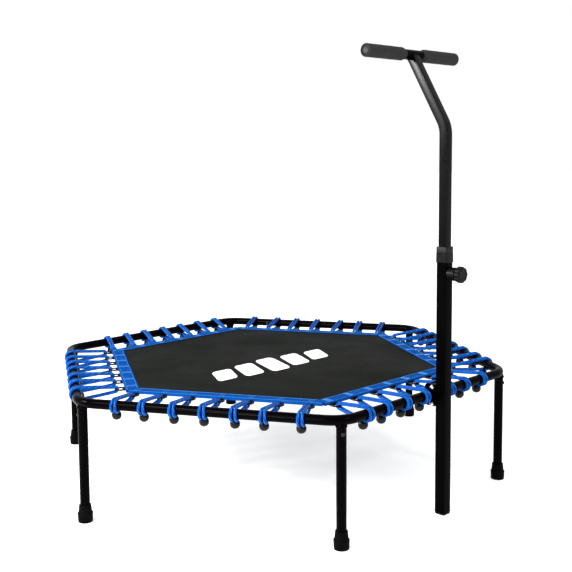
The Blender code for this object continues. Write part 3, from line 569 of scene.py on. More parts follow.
def sweep(points, radius, segments=12, wrap=False):
    """Loops of a round tube along points, turned as little as possible. Radius may vary."""
    path = np.array([tuple(p) for p in points], float)
    if wrap:
        tangents = np.roll(path, -1, 0) - np.roll(path, 1, 0)
    else:
        tangents = np.gradient(path, axis=0)
    tangents /= np.linalg.norm(tangents, axis=1)[:, None]
    side = np.cross(tangents[0], (0.31, 0.17, 0.93))
    side /= np.linalg.norm(side)
    angles = np.linspace(0, 2 * np.pi, segments, endpoint=False)
    radii = np.broadcast_to(radius, len(path))
    loops = []
    for point, tangent, reach in zip(path, tangents, radii):
        side = side - tangent * (side @ tangent)
        side /= np.linalg.norm(side)
        lift = np.cross(tangent, side)
        loops.append(point + reach * (np.cos(angles)[:, None] * side + np.sin(angles)[:, None] * lift))
    return loops


def resampled(points, step):
    """Points a set distance apart along a polyline."""
    path = np.array([tuple(p) for p in points], float)
    lengths = np.concatenate([[0], np.cumsum(np.linalg.norm(np.diff(path, axis=0), axis=1))])
    count = max(int(round(lengths[-1] / step)), 2)
    spots = np.linspace(0, lengths[-1], count + 1)
    return np.stack([np.interp(spots, lengths, path[:, axis]) for axis in range(3)], axis=1)


def square_ring(width, corner, centre, across, along, steps=5):
    """A square with round corners, in the plane of two unit directions."""
    inner = width / 2 - corner
    ring = []
    for quarter, (a, b) in enumerate(((1, 1), (-1, 1), (-1, -1), (1, -1))):
        for angle in arc(90 * quarter, 90 * quarter + 90, steps):
            ring.append(centre + across * (a * inner + corner * math.cos(angle))
                        + along * (b * inner + corner * math.sin(angle)))
    return ring


def cut(item, cutters):
    """Cuts closed shapes, given as a list of skins, out of an object's mesh."""
    tool = bpy.data.objects.new("tool", make_mesh("tool", cutters, item.data.materials[0]))
    bpy.context.scene.collection.objects.link(tool)
    modifier = item.modifiers.new("cut", "BOOLEAN")
    modifier.solver = "EXACT"
    modifier.operation = "DIFFERENCE"
    modifier.object = tool
    bpy.context.view_layer.update()
    shaped = bpy.data.meshes.new_from_object(item.evaluated_get(bpy.context.evaluated_depsgraph_get()))
    item.modifiers.remove(modifier)
    item.data = shaped
    bpy.data.objects.remove(tool, do_unlink=True)
    item.data.shade_smooth()
    item.data.set_sharp_from_angle(angle=math.radians(35))


def soften(node, material, width):
    """A CAD node that stays: it gets a material and small round edges."""
    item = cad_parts[node]
    item.data.materials.clear()
    item.data.materials.append(material)
    if width:
        weld = item.modifiers.new("weld", "WELD")
        weld.merge_threshold = 0.00002
        bevel = item.modifiers.new("edges", "BEVEL")
        bevel.width = width
        bevel.segments = 3
        bevel.limit_method = "ANGLE"
        bevel.angle_limit = math.radians(30)
        bevel.harden_normals = True
    item.data.shade_smooth()


# ---------------------------------------------------------------- frame: rails, legs, feet, screws

def facing(angle):
    return Vector((math.cos(angle), math.sin(angle), 0))


def rail_parts():
    """A rail section round corner 0 with its swaged end, and the weld over the leg's stub."""
    before, after = facing(math.pi / 2 - HALF_TURN), facing(math.pi / 2 + HALF_TURN)
    corner = Vector((SIDE, 0, RAIL_Z))
    start = corner - before * SIDE * SEAM_BEFORE
    end = corner + after * (SIDE * (1 - SEAM_BEFORE) - GAP)
    centre = Vector((SIDE - BEND_R / math.cos(HALF_TURN), 0, RAIL_Z))
    first, last = facing(-HALF_TURN), facing(HALF_TURN)
    edge, spigot = 0.0006, 0.0102
    stations = [(start + before * 0.012, first, TUBE_R - 0.0017), (start, first, TUBE_R - 0.0016),
                (start, first, TUBE_R - edge), (start + before * edge, first, TUBE_R)]
    bend_start = centre + BEND_R * first
    stations += [(start.lerp(bend_start, t / 4), first, TUBE_R) for t in range(1, 4)]
    for angle in arc(-30, 30, 18):
        stations.append((centre + BEND_R * facing(angle), facing(angle), TUBE_R))
    bend_end = centre + BEND_R * last
    stations += [(bend_end.lerp(end, t / 6), last, TUBE_R) for t in range(1, 6)]
    stations += [(end - after * edge, last, TUBE_R), (end, last, TUBE_R - edge), (end, last, spigot),
                 (end + after * 0.020, last, spigot)]
    angles = [2 * math.pi * i / 40 for i in range(40)]
    loops = [[c + r * (math.cos(a) * out + math.sin(a) * UP) for a in angles] for c, out, r in stations]
    return [bridge(loops), weld_collar()]


def weld_collar():
    """The weld under a corner: a rippled fillet between the rail and the leg."""
    profile = [(0.0112, -0.0020), (0.0117, -0.0060), (0.0126, -0.0100), (0.0138, -0.0126),
               (0.0139, -0.0142), (0.0132, -0.0157), (0.0128, -STUB_DEPTH), (0.0100, -STUB_DEPTH),
               (0.0100, -0.030)]

    def ripple(angle, radius, height):
        return 0.00016 * math.sin(26 * angle) if radius > 0.0121 and height > -STUB_DEPTH else 0

    frame_here = Matrix.Translation((CORNER_RADIUS, 0, RAIL_Z))
    return bridge(turned(rounded(profile, [0.001] * len(profile), 2), 96, frame_here, ripple))


def leg_parts():
    """A leg's tube, its ends broken, with the bore that shows at the top."""
    top = RAIL_Z - STUB_DEPTH - GAP
    profile = [(0.0103, 0.030), (0.0103, 0.0066), (TUBE_R - 0.0005, 0.0066), (TUBE_R, 0.0071),
               (TUBE_R, 0.15), (TUBE_R, top - 0.0005), (TUBE_R - 0.0005, top), (0.0103, top),
               (0.0103, top - 0.01)]
    return [bridge(turned(profile, 40, Matrix.Translation((CORNER_RADIUS, 0, 0))))]


def foot_parts():
    """A rubber foot: a ribbed base, a lip and a tapered collar that grips the leg."""
    profile = [(0.0140, 0.0012), (0.0150, 0.0), (0.0168, 0.0), (0.0178, 0.0012), (0.0182, 0.0070),
               (0.0185, 0.0188), (0.0190, 0.0200), (0.0190, 0.0225), (0.0165, 0.0238),
               (0.0150, 0.0400), (0.0145, FOOT_HEIGHT - 0.0004), (0.0139, FOOT_HEIGHT), (0.0123, FOOT_HEIGHT),
               (0.0121, FOOT_HEIGHT - 0.004)]
    fillets = [0, 0.0008, 0.001, 0.002, 0.003, 0.002, 0.0008, 0.0008, 0.0025, 0.004]
    fillets += [0.0006, 0.0006, 0.0004, 0]

    def grooves(angle, radius, height):
        low = 0.0035 < height < 0.0170
        return -0.00035 * max(0.0, math.cos(24 * angle)) ** 6 if low else 0

    loops = turned(rounded(profile, fillets, 4), 96, Matrix.Translation((CORNER_RADIUS, 0, 0)), grooves)
    return [bridge(loops)]


def screw_mesh(name):
    """A pan head with a cross recess. Its seat is z = 0 and its shank runs along -Z."""
    profile = [(0.0016, -0.004), (0.0016, 0.0002), (0.0043, 0.0002), (0.0045, 0.0005), (0.0045, 0.0012),
               (0.0040, 0.0023), (0.0026, 0.0028), (0.0004, 0.0029)]
    mesh = make_mesh(name, [bridge(turned(rounded(profile, [0.0005] * 8, 3), 32))], BLACK_ZINC)
    item = bpy.data.objects.new(name, mesh)
    bpy.context.scene.collection.objects.link(item)
    arms = []
    for turn in (0, 90):
        spin = Matrix.Rotation(math.radians(turn), 4, "Z")
        corners = ((-1, -1), (1, -1), (1, 1), (-1, 1))
        loops = [[spin @ Vector((a * wide, b * 0.00045, z)) for a, b in corners]
                 for wide, z in ((0.0010, 0.0010), (0.0027, 0.0040))]
        arms.append(loops)
    for loops in arms:
        cut(item, [bridge(loops)])
    mesh = item.data
    bpy.data.objects.remove(item, do_unlink=True)
    return mesh


def build_frame():
    rail = make_mesh("rail_tube", rail_parts(), BLACK_COAT)
    leg = make_mesh("leg_tube", leg_parts(), BLACK_COAT)
    foot = make_mesh("rubber_foot", foot_parts(), RUBBER)
    head = screw_mesh("screw_head")
    along = SIDE * (0.5 - SEAM_BEFORE) + SCREW_INSET
    low = aim((CORNER_RADIUS + TUBE_R, 0, RAIL_Z - LEG_SCREW_DROP), X_AXIS)
    inner = aim((APOTHEM - TUBE_R, along, RAIL_Z), -X_AXIS)
    for k in range(SIDES):
        here = corner_frame(k)
        place(f"rail_tube_{k + 1}", rail, here, "frame", [f"rail_section_{k + 1}"])
        place(f"leg_tube_{k + 1}", leg, here, "frame", [f"leg_{k + 1}"])
        place(f"rubber_foot_{k + 1}", foot, here, "frame", [f"foot_{k + 1}"])
        spin = Matrix.Rotation(dice.uniform(0, 1.5), 4, "Z")
        place(f"leg_screw_head_{k + 1}", head, here @ low @ spin, "frame", [f"leg_screw_{k + 1}"])
        spin = Matrix.Rotation(dice.uniform(0, 1.5), 4, "Z")
        place(f"rail_screw_head_{k + 1}", head, side_frame(k) @ inner @ spin, "frame",
              [f"rail_screw_{k + 1}"])


# ---------------------------------------------------------------- mat, border, stitches, rings

def build_mat():
    """The jump mat: a taut sheet with a millimetre of sag, and its printed bars."""
    rings = 44
    reach = MAT_RADIUS - 0.002
    middle = Vector((0, CENTRE_Y, 0))

    def level(x, y):
        far = math.hypot(x, y) / reach
        ripple = 0.00008 * math.sin(31 * x) * math.sin(27 * y)
        return MAT_TOP - 0.0001 - MAT_SAG * (1 - min(far, 1) ** 2) + ripple

    loops = []
    for ring in range(rings + 1):
        radius = reach * max(ring, 0.02) / rings
        corners = [facing(2 * HALF_TURN * k) * radius for k in range(SIDES)]
        loop = []
        for k in range(SIDES):
            for step in range(16):
                spot = corners[k].lerp(corners[(k + 1) % SIDES], step / 16)
                loop.append(middle + Vector((spot.x, spot.y, level(spot.x, spot.y))))
        loops.append(loop)
    under = [[p - UP * 0.0012 for p in loop] for loop in loops]
    skin = bridge(loops + under[::-1], wrap=True)
    sheet = add("mat_sheet", [skin], MAT_CLOTH, "mat", ["jump_mat"])
    bars = print_bars(level)
    area = 1.5 * math.sqrt(3) * reach ** 2
    return sheet, bars, (2 * reach, 2 * reach * math.cos(HALF_TURN)), area


def print_bars(level):
    """Five plain slanted bars of white ink near the middle of the mat."""
    parts = []
    count, wide, gap, tall, slant = 5, 0.068, 0.021, 0.135, 0.050
    centre = Vector((-0.045, -0.045, 0))
    for i in range(count):
        left = (i - (count - 1) / 2) * (wide + gap) - wide / 2
        height = tall * (1 - 0.16 * abs(i - (count - 1) / 2))
        rows = []
        for step in range(13):
            t = step / 12
            y = (t - 0.5) * height
            pinch = 0.010 * (1 - math.sqrt(max(0.0, 1 - (abs(2 * t - 1)) ** 8)))
            shift = (t - 0.5) * slant
            xs = [left + pinch + shift + (wide - 2 * pinch) * s / 6 for s in range(7)]
            top = [Vector((centre.x + x, CENTRE_Y + centre.y + y,
                           level(centre.x + x, centre.y + y) + 0.00022)) for x in xs]
            rows.append(top + [p - UP * 0.0003 for p in reversed(top)])
        parts.append(bridge(rows))
    return add("mat_print", parts, INK, "mat", sharp=50)


def border_strip(side):
    """One side's webbing, folded over the mat's edge, its ends mitred and its face slightly puckered."""
    thick = 0.0014
    top_in, top_out = BORDER_INNER_EDGE, BORDER_EDGE
    profile = [(top_in, BORDER_TOP - 0.0012), (top_in + 0.0003, BORDER_TOP - 0.0002)]
    profile += [(top_in + 0.0012, BORDER_TOP)]
    profile += [(top_in + (top_out - top_in) * t / 12, BORDER_TOP) for t in range(1, 12)]
    middle, fold = (BORDER_TOP + BORDER_BOTTOM - 0.0015) / 2, (BORDER_TOP - BORDER_BOTTOM + 0.0015) / 2
    bulge = 0.0022
    for angle in arc(80, -80, 8):
        profile.append((top_out - bulge + bulge * math.cos(angle), middle + fold * math.sin(angle)))
    low = BORDER_BOTTOM - 0.0015
    profile += [(top_out - (top_out - top_in) * t / 6, low) for t in range(1, 6)]
    profile += [(top_in + 0.0006, low + 0.0001), (top_in, low + thick)]
    profile += [(top_in + 0.004, low + thick), (top_out - 0.006, low + thick),
                (top_out - 0.006, BORDER_TOP - thick), (top_in + 0.004, BORDER_TOP - thick)]
    matrix = side_frame(side)
    count = 130
    loops = []
    for step in range(count + 1):
        share = 2 * step / count - 1
        loop = []
        for n, z in profile:
            lost = 0.0045 * max(0.0, (n - top_in) / (top_out - top_in)) ** 5
            s = share * (n * SLOPE - lost - 0.0002)
            z_here, n_here = z, n
            if z > BORDER_TOP - 0.0005:
                near_rows = math.exp(-((n - top_out + 0.005) / 0.004) ** 2)
                near_rows += math.exp(-((n - top_in - 0.004) / 0.004) ** 2)
                z_here += 0.00022 * math.sin(2 * math.pi * s / 0.0085 + side) - 0.00035 * near_rows
            n_here += 0.00035 * math.sin(41 * s + 2 * side) * (1 if n > top_out - 0.004 else 0.6)
            loop.append(matrix @ Vector((n_here, s, z_here)))
        loops.append(loop)
    return bridge(loops)


def stitch_shape():
    """A stitch's line, as shares of its length and of its height. It dips at both ends."""
    return [(-0.5, -0.9), (-0.36, -0.1), (0, 0.25), (0.36, -0.1), (0.5, -0.9)]


def stitches(side):
    """Two rows along the webbing, and a block of short rows over every ring's tab."""
    matrix = side_frame(side)
    parts = []

    def stitch(n, s, length, angle=0.0):
        run = Vector((math.sin(angle), math.cos(angle), 0))
        points = [matrix @ (Vector((n, s, BORDER_TOP + 0.0001)) + run * length * y + UP * z * 0.00075)
                  for y, z in stitch_shape()]
        parts.append(bridge(sweep(points, 0.00042, 5)))

    for n in (BORDER_EDGE - 0.005, BORDER_INNER_EDGE + 0.004):
        reach = n * SLOPE - 0.004
        count = int(2 * reach / 0.0042)
        for i in range(count):
            stitch(n, -reach + 2 * reach * (i + 0.5) / count, 0.0034)
    for i in range(LOOPS):
        ring = ring_place(side, i)
        for row in (-0.0062, -0.0031, 0, 0.0031, 0.0062):
            for j in range(8):
                n = BORDER_EDGE - 0.0075 - 0.0031 * j
                if abs(ring + row) < n * SLOPE - 0.003:
                    stitch(n, ring + row + dice.uniform(-0.0003, 0.0003), 0.0027, math.pi / 2)
    return parts


def ring_parts(side):
    """The seven oval rings of a side: a round bar, wider along the side than outwards."""
    matrix = side_frame(side)
    parts = []
    for i in range(LOOPS):
        along = ring_place(side, i)
        inner, outer, half = BORDER_EDGE + 0.0015, RING_BAR, 0.0130
        points = []
        for step in range(48):
            angle = 2 * math.pi * step / 48
            c, s = math.cos(angle), math.sin(angle)
            out = (abs(c) ** 0.72) * math.copysign(1, c)
            across = (abs(s) ** 0.80) * math.copysign(1, s)
            points.append(matrix @ Vector(((inner + outer) / 2 + (outer - inner) / 2 * out,
                                           along + half * across * (1 - 0.10 * out), RING_Z)))
        parts.append(bridge(sweep(points, RING_WIRE, 12, wrap=True), wrap=True))
    return parts


def tab_parts(side):
    """The webbing tabs that hold the rings: each is folded round its ring and sewn under the border."""
    matrix = side_frame(side)
    parts = []
    bar = BORDER_EDGE + 0.0015
    thick, clear, wide = 0.0011, RING_WIRE + 0.0001, 0.0090
    for i in range(LOOPS):
        along = ring_place(side, i)
        outer = [(bar - 0.020, RING_Z + 0.0004 + thick)]
        for angle in arc(100, -100, 12):
            reach = clear + thick
            outer.append((bar + reach * math.cos(angle), RING_Z + reach * math.sin(angle)))
        outer += [(bar - 0.020, RING_Z - 0.0004 - thick)]
        inner = [(bar - 0.020, RING_Z - 0.0004)]
        inner += [(bar + clear * math.cos(a), RING_Z + clear * math.sin(a)) for a in arc(-100, 100, 12)]
        inner += [(bar - 0.020, RING_Z + 0.0004)]
        outline = outer + inner
        loops = [[matrix @ Vector((n, along + s, z)) for n, z in outline]
                 for s in (-wide, -wide + 0.0004, -wide / 2, 0, wide / 2, wide - 0.0004, wide)]
        parts.append(bridge(loops))
    return parts


def build_border():
    made = []
    for side in range(SIDES):
        number = side + 1
        made.append(add(f"border_{number}", [border_strip(side)], BLUE_WEBBING, "mat",
                        ["mat_border"]))
        made.append(add(f"border_stitches_{number}", stitches(side), THREAD, "mat"))
        made.append(add(f"rings_{number}", ring_parts(side), RING_PLASTIC, "mat",
                        [f"ring_strip_{number}"]))
        made.append(add(f"tabs_{number}", tab_parts(side), BLACK_WEBBING, "mat",
                        [f"ring_strip_{number}"]))
    return made


# ---------------------------------------------------------------- elastic loops and balls

def loop_place(side, index):
    """Where a loop goes round the rail, along its side."""
    push = 0.005 * math.sin(2.3 * index + 1.7 * side)
    if side in LOOP_PUSH:
        push = LOOP_PUSH[side][index]
    return LOOP_PITCH * (index - (LOOPS - 1) / 2) + push


def strand(ring_along, rail_along, hand, loose):
    """Centreline of one strand: from the ball out and round the rail, over it to the ring and back below."""
    wrap = TUBE_R + GAP + CORD_R
    turn = RING_WIRE + CORD_R + 0.0001
    ball_n, ball_z = APOTHEM - BALL_IN, RAIL_Z - BALL_DROP
    ball_s = rail_along + BALL_SLIP
    points = [(ball_n + 0.0010, ball_s + hand * 0.0022, ball_z + 0.0095),
              (ball_n + 0.0030, ball_s + hand * 0.0030, ball_z + 0.0115)]
    for angle in arc(-108, 86, 30):
        spread = 0.0047 + 0.0011 * math.cos(angle + 0.5) ** 2 + loose * 0.0005
        points.append((APOTHEM + wrap * math.cos(angle), rail_along + hand * spread,
                       RAIL_Z + wrap * math.sin(angle)))
    top_n, top_s, top_z = points[-1]
    for step in range(1, 20):
        t = step / 20
        s = rail_along + (ring_along - rail_along) * t
        twist = 0.0047 - 0.0006 * t + 0.0002 * math.sin(3.1 * t + loose)
        points.append((top_n + (RING_BAR - top_n) * t, s + hand * twist,
                       top_z + (RING_Z + turn - top_z) * t + 0.0003 * math.sin(math.pi * t) * loose))
    for angle in arc(90, 270, 14):
        points.append((RING_BAR + turn * math.cos(angle), ring_along + hand * 0.0041,
                       RING_Z + turn * math.sin(angle)))
    low_n, low_z = ball_n - 0.0045, ball_z + 0.0120
    for step in range(1, 20):
        t = step / 20
        s = ring_along + (ball_s - ring_along) * t
        points.append((RING_BAR + (low_n - RING_BAR) * t, s + hand * (0.0041 - 0.0012 * t * t),
                       RING_Z - turn + (low_z - RING_Z + turn) * t - 0.0006 * math.sin(math.pi * t)))
    points += [(ball_n - 0.0020, ball_s + hand * 0.0026, ball_z + 0.0110)]
    return points


def ball_mesh():
    """A moulded ball with a flat underside, a parting line and a short neck. z = 0 is its middle."""
    profile = [(0.0002, -0.0106), (0.0048, -0.0107)]
    profile += [(BALL_R * math.cos(a), BALL_R * math.sin(a)) for a in arc(-58, -2.2, 14)]
    profile += [(BALL_R - 0.00018, 0.0)]
    profile += [(BALL_R * math.cos(a), BALL_R * math.sin(a)) for a in arc(2.2, 52, 12)]
    profile += [(0.0068, 0.0108), (0.0066, 0.0148), (0.0060, 0.0156), (0.0042, 0.0158), (0.0040, 0.0130)]
    return make_mesh("ball", [bridge(turned(profile, 48))], BALL_PLASTIC, 60)


def build_loops():
    ball = ball_mesh()
    for side in range(SIDES):
        matrix = side_frame(side)
        node = f"bungee_set_{side + 1}"
        for index in range(LOOPS):
            tag = f"{side + 1}_{index + 1}"
            rail_along, ring_along = loop_place(side, index), ring_place(side, index)
            parts = []
            for hand in (-1, 1):
                line = strand(ring_along, rail_along, hand, dice.uniform(-1, 1))
                route = [matrix @ Vector(p) for p in line]
                parts.append(bridge(sweep(resampled(route, 0.0024), CORD_R, 12), turned_map=True))
            loop = add(f"elastic_loop_{tag}", parts, BRAID, None, [node])
            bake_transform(loop)
            spot = Vector((APOTHEM - BALL_IN, rail_along + BALL_SLIP, RAIL_Z - BALL_DROP))
            tilt = Matrix.Rotation(dice.uniform(-0.10, 0.10), 4, "Y")
            tilt = tilt @ Matrix.Rotation(dice.uniform(0, 6), 4, "Z")
            here = matrix @ Matrix.Translation(spot) @ tilt
            place(f"ball_{tag}", ball, here, "frame", [node])


# ---------------------------------------------------------------- post, clamp and collar

def build_post():
    here = post_frame()
    levels = [(POST_WIDTH - 0.0006, POST_FROM), (POST_WIDTH, POST_FROM + 0.0004), (POST_WIDTH, 0.15),
              (POST_WIDTH, 0.40), (POST_WIDTH, POST_TOP - 0.0004), (POST_WIDTH - 0.0008, POST_TOP)]
    outer = [square_ring(w, 0.0019, Vector((0, 0, z)), X_AXIS, Y_AXIS) for w, z in levels]
    bore = POST_WIDTH - 2 * POST_WALL
    inner = [square_ring(bore, 0.0010, Vector((0, 0, z)), X_AXIS, Y_AXIS) for z in (POST_TOP, POST_FROM)]
    face = -POST_WIDTH / 2
    boss = [(BOSS_R + 0.0016, -0.0006), (BOSS_R + 0.0012, 0.0006), (BOSS_R, 0.0016),
            (BOSS_R, BOSS_LENGTH - 0.0005), (BOSS_R - 0.0005, BOSS_LENGTH),
            (0.0030, BOSS_LENGTH), (0.0030, BOSS_LENGTH - 0.003)]
    boss_loops = turned(boss, 48, aim((0, face, PIN_Z), -Y_AXIS))
    parts = [bridge(outer + inner, wrap=True), bridge(boss_loops)] + lug_parts()
    add("post_tube", parts, POST_COAT, "frame", ["lower_post"], here, 35)
    rivet = [(0.0036, -0.0002), (0.0036, 0.0003), (0.0031, 0.0009), (0.0018, 0.0013), (0.0003, 0.0014)]
    heads = []
    for drop in (-BOLT_DROP, BOLT_DROP):
        spot = (-POST_WIDTH / 2, 0.002, RAIL_Z + drop)
        heads.append(bridge(turned(rounded(rivet, [0.0003] * 5, 2), 28, aim(spot, -X_AXIS))))
    add("post_rivets", heads, POST_COAT, "frame", (), here)
    soften("post_foot", PLASTIC, 0.0004)


def lug_parts():
    """The welded lug between the post and the rail, hollowed to the rail, with its weld runs."""
    rail_y = POST_WIDTH / 2 + POST_OFFSET
    half, tall, near = POST_WIDTH / 2 - 0.0006, 0.0266, rail_y - 0.0018
    outline = [(POST_WIDTH / 2 - 0.001, -tall), (near, -tall)]
    notch = TUBE_R + GAP
    lip = math.degrees(math.acos((rail_y - near) / notch))
    outline += [(rail_y - notch * math.cos(a), -notch * math.sin(a)) for a in arc(lip, -lip, 16)]
    outline += [(near, tall), (POST_WIDTH / 2 - 0.001, tall)]
    loops = [[Vector((x, y, RAIL_Z + z)) for y, z in outline] for x in (-half, half)]
    welds = []
    for x in (-half, half):
        run = [Vector((x, POST_WIDTH / 2, RAIL_Z - tall + 2 * tall * t / 40)) for t in range(41)]
        radii = [0.0016 + 0.00018 * math.sin(2.2 * t) for t in range(41)]
        welds.append(bridge(sweep(run, radii, 10)))
    return [bridge(loops)] + welds


def build_clamp():
    here = post_frame()
    soften("clamp_bracket", BLACK_COAT, 0.0006)
    bolt_y = POST_WIDTH / 2 + POST_OFFSET - BOLT_OUT
    seat = POST_WIDTH / 2 + 2 * GAP + BRACKET_PLATE
    head = [(0.0030, -0.010), (0.0030, 0.0), (0.0060, 0.0), (0.0060, 0.0009), (0.0050, 0.0026),
            (0.0032, 0.0034), (0.0020, 0.0035), (0.0020, 0.0016), (0.0003, 0.0014)]
    head_loops = rounded(head, [0, 0, 0.0003, 0.0008, 0.002, 0.001, 0.0002, 0.0001, 0], 4)
    for name, drop in (("upper", BOLT_DROP), ("lower", -BOLT_DROP)):
        spot = Vector((0, bolt_y, RAIL_Z + drop))
        bolt = bridge(turned(head_loops, 40, aim(spot + X_AXIS * seat, X_AXIS)))
        add(f"bolt_{name}", [bolt], CHROME, "frame", [f"clamp_bolt_{name}"], here)
        nut = nut_part(aim(spot - X_AXIS * seat, -X_AXIS))
        add(f"cap_nut_{name}", [nut], CHROME, "frame", [f"dome_nut_{name}"], here, 30)


def nut_part(matrix):
    """A cap nut: chamfered flats below and a polished dome above."""
    dome_r, hexagon, rise = NUT_R * 0.86, 0.0050, 0.0046
    levels = [(0.0050, 0.0, 0.0), (NUT_R, 0.0005, 1.0), (NUT_R, hexagon - 0.0006, 1.0)]
    levels += [(dome_r + 0.0003, hexagon, 0.4)]
    levels += [(dome_r * math.cos(a), hexagon + rise * math.sin(a), 0.0) for a in arc(2, 86, 14)]
    loops = []
    for radius, height, flats in levels:
        ring = []
        for i in range(60):
            angle = 2 * math.pi * i / 60
            nearest = (angle + math.pi / 6) % (math.pi / 3) - math.pi / 6
            hexed = radius * math.cos(math.pi / 6) / math.cos(abs(abs(nearest) - math.pi / 6))
            reach = radius + (hexed - radius) * flats
            ring.append(matrix @ Vector((reach * math.cos(angle), reach * math.sin(angle), height)))
        loops.append(ring)
    return bridge(loops)


def square_levels(levels):
    return [square_ring(w, c, Vector((0, 0, z)), X_AXIS, Y_AXIS) for w, c, z in levels]


def build_collar():
    """The plastic sleeve on the post: a flared skirt with a bottom lip, and a clamping band above."""
    here = post_frame()
    bore = POST_WIDTH + 2 * GAP
    skirt = [(bore, 0.0026, COLLAR_BOTTOM + 0.004), (bore, 0.0026, COLLAR_BOTTOM),
             (COLLAR_FOOT_WIDTH - 0.0006, 0.0030, COLLAR_BOTTOM),
             (COLLAR_FOOT_WIDTH, 0.0034, COLLAR_BOTTOM + 0.0005),
             (COLLAR_FOOT_WIDTH, 0.0034, COLLAR_BOTTOM + 0.0017),
             (COLLAR_FOOT_WIDTH - 0.0008, 0.0034, COLLAR_BOTTOM + 0.0023),
             (COLLAR_WIDTH + 0.0006, 0.0032, COLLAR_BAND - 0.0012),
             (COLLAR_WIDTH - 0.0004, 0.0030, COLLAR_BAND - 0.0004),
             (COLLAR_WIDTH - 0.0008, 0.0030, COLLAR_BAND), (bore - 0.001, 0.0026, COLLAR_BAND)]
    add("collar_skirt", [bridge(square_levels(skirt))], PLASTIC, "frame",
        ["post_collar"], here, 30)
    slot_width = SLIDER_WIDTH + 2 * GAP
    band = [(COLLAR_WIDTH - 0.0010, 0.0030, COLLAR_BAND + 0.0001),
            (COLLAR_WIDTH, 0.0032, COLLAR_BAND + 0.0008), (COLLAR_WIDTH, 0.0032, COLLAR_TOP - 0.0014),
            (COLLAR_WIDTH - 0.0008, 0.0032, COLLAR_TOP - 0.0005),
            (COLLAR_WIDTH - 0.0024, 0.0030, COLLAR_TOP), (slot_width + 0.0010, 0.0026, COLLAR_TOP),
            (slot_width, 0.0024, COLLAR_TOP - 0.0006), (slot_width, 0.0024, COLLAR_TOP - 0.006)]
    add("collar_band", [bridge(square_levels(band))], BAND_PLASTIC, "frame",
        ["post_collar"], here, 30)


# ---------------------------------------------------------------- sliding handle

def slider_path():
    """Stations (centre, along) of the sliding tube. Along is its second cross direction."""
    drop = SLIDER_BEND_R * math.tan(LEAN / 2)
    centre = Vector((0, SLIDER_BEND_R, BEND_Z - drop))
    stations = [(Vector((0, 0, z)), Y_AXIS.copy()) for z in (SLIDER_BOTTOM, 0.56, 0.70, 0.82)]
    for angle in arc(0, math.degrees(LEAN), 16):
        along = Vector((0, math.cos(angle), -math.sin(angle)))
        stations.append((centre - SLIDER_BEND_R * along, along))
    run = Vector((0, math.sin(LEAN), math.cos(LEAN)))
    bar_centre = Vector((0, BAR_IN, BAR_Z))
    lean_start, along = stations[-1]
    finish = bar_centre - run * BAR_R / 3
    stations += [(lean_start.lerp(finish, t / 5), along) for t in range(1, 6)]
    return stations, run, bar_centre


def build_handle():
    here = post_frame()
    stations, run, bar_centre = slider_path()
    outer = [square_ring(SLIDER_WIDTH, 0.0016, c, X_AXIS, d) for c, d in stations]
    inner = [square_ring(SLIDER_WIDTH - 0.003, 0.0010, c, X_AXIS, d) for c, d in stations]
    tube = add("handle_slider", [bridge(outer + inner[::-1], wrap=True)], HANDLE_COAT, None,
               ["handle_tube"], here, 35)
    cutters = []
    for index in range(-3, 3):
        spot = Vector((0, -SLIDER_WIDTH / 2 - 0.003, PIN_Z + index * HOLE_PITCH))
        cutters.append(bridge(turned([(HOLE_R, 0), (HOLE_R, 0.007)], 28, aim(spot, Y_AXIS))))
    cut(tube, cutters)
    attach(tube, "handle")
    build_crossbar(here, run, bar_centre)


def build_crossbar(here, run, bar_centre):
    across = aim(bar_centre, X_AXIS)
    bar = [(0.011, -0.173), (BAR_R - 0.0004, -0.173), (BAR_R, -0.1726), (BAR_R, -0.10), (BAR_R, 0.10),
           (BAR_R, 0.1726), (BAR_R - 0.0004, 0.173), (0.011, 0.173)]
    along = Vector((0, math.cos(LEAN), -math.sin(LEAN)))
    bead = []
    for spot in square_ring(SLIDER_WIDTH + 0.0004, 0.0024, Vector(), X_AXIS, Y_AXIS, 4):
        depth = -math.sqrt(max(BAR_R ** 2 - spot.y ** 2, 0.0))
        bead.append(bar_centre + X_AXIS * spot.x + along * spot.y + run * depth)
    bead = resampled(bead + bead[:1], 0.0014)[:-1]
    radii = [0.0019 + 0.00020 * math.sin(1.9 * i) for i in range(len(bead))]
    parts = [bridge(turned(bar, 48, across)), bridge(sweep(bead, radii, 10, wrap=True), wrap=True)]
    add("crossbar", parts, BLACK_COAT, "handle", ["handle_tube"], here)
    for name, side in (("left", -1), ("right", 1)):
        matrix = aim(bar_centre, X_AXIS * side)
        grip = add(f"foam_grip_{name}", [grip_part(matrix)], FOAM, "handle",
                   [f"grip_{name}"], here, 50)
        plug = [(0.0100, 0.165), (0.0107, 0.1733), (BAR_R, 0.1733), (BAR_R, 0.1742),
                (BAR_R - 0.0006, 0.1750), (0.0086, 0.1757), (0.0078, 0.1752), (0.0074, 0.1750),
                (0.0003, 0.1750)]
        fillets = [0, 0, 0.0002, 0.0004, 0.0006, 0.0006, 0.0003, 0.0003, 0]
        loops = turned(rounded(plug, fillets, 3), 48, matrix)
        add(f"end_cap_{name}", [bridge(loops)], BAND_PLASTIC, "handle",
            [f"bar_plug_{name}"], here)


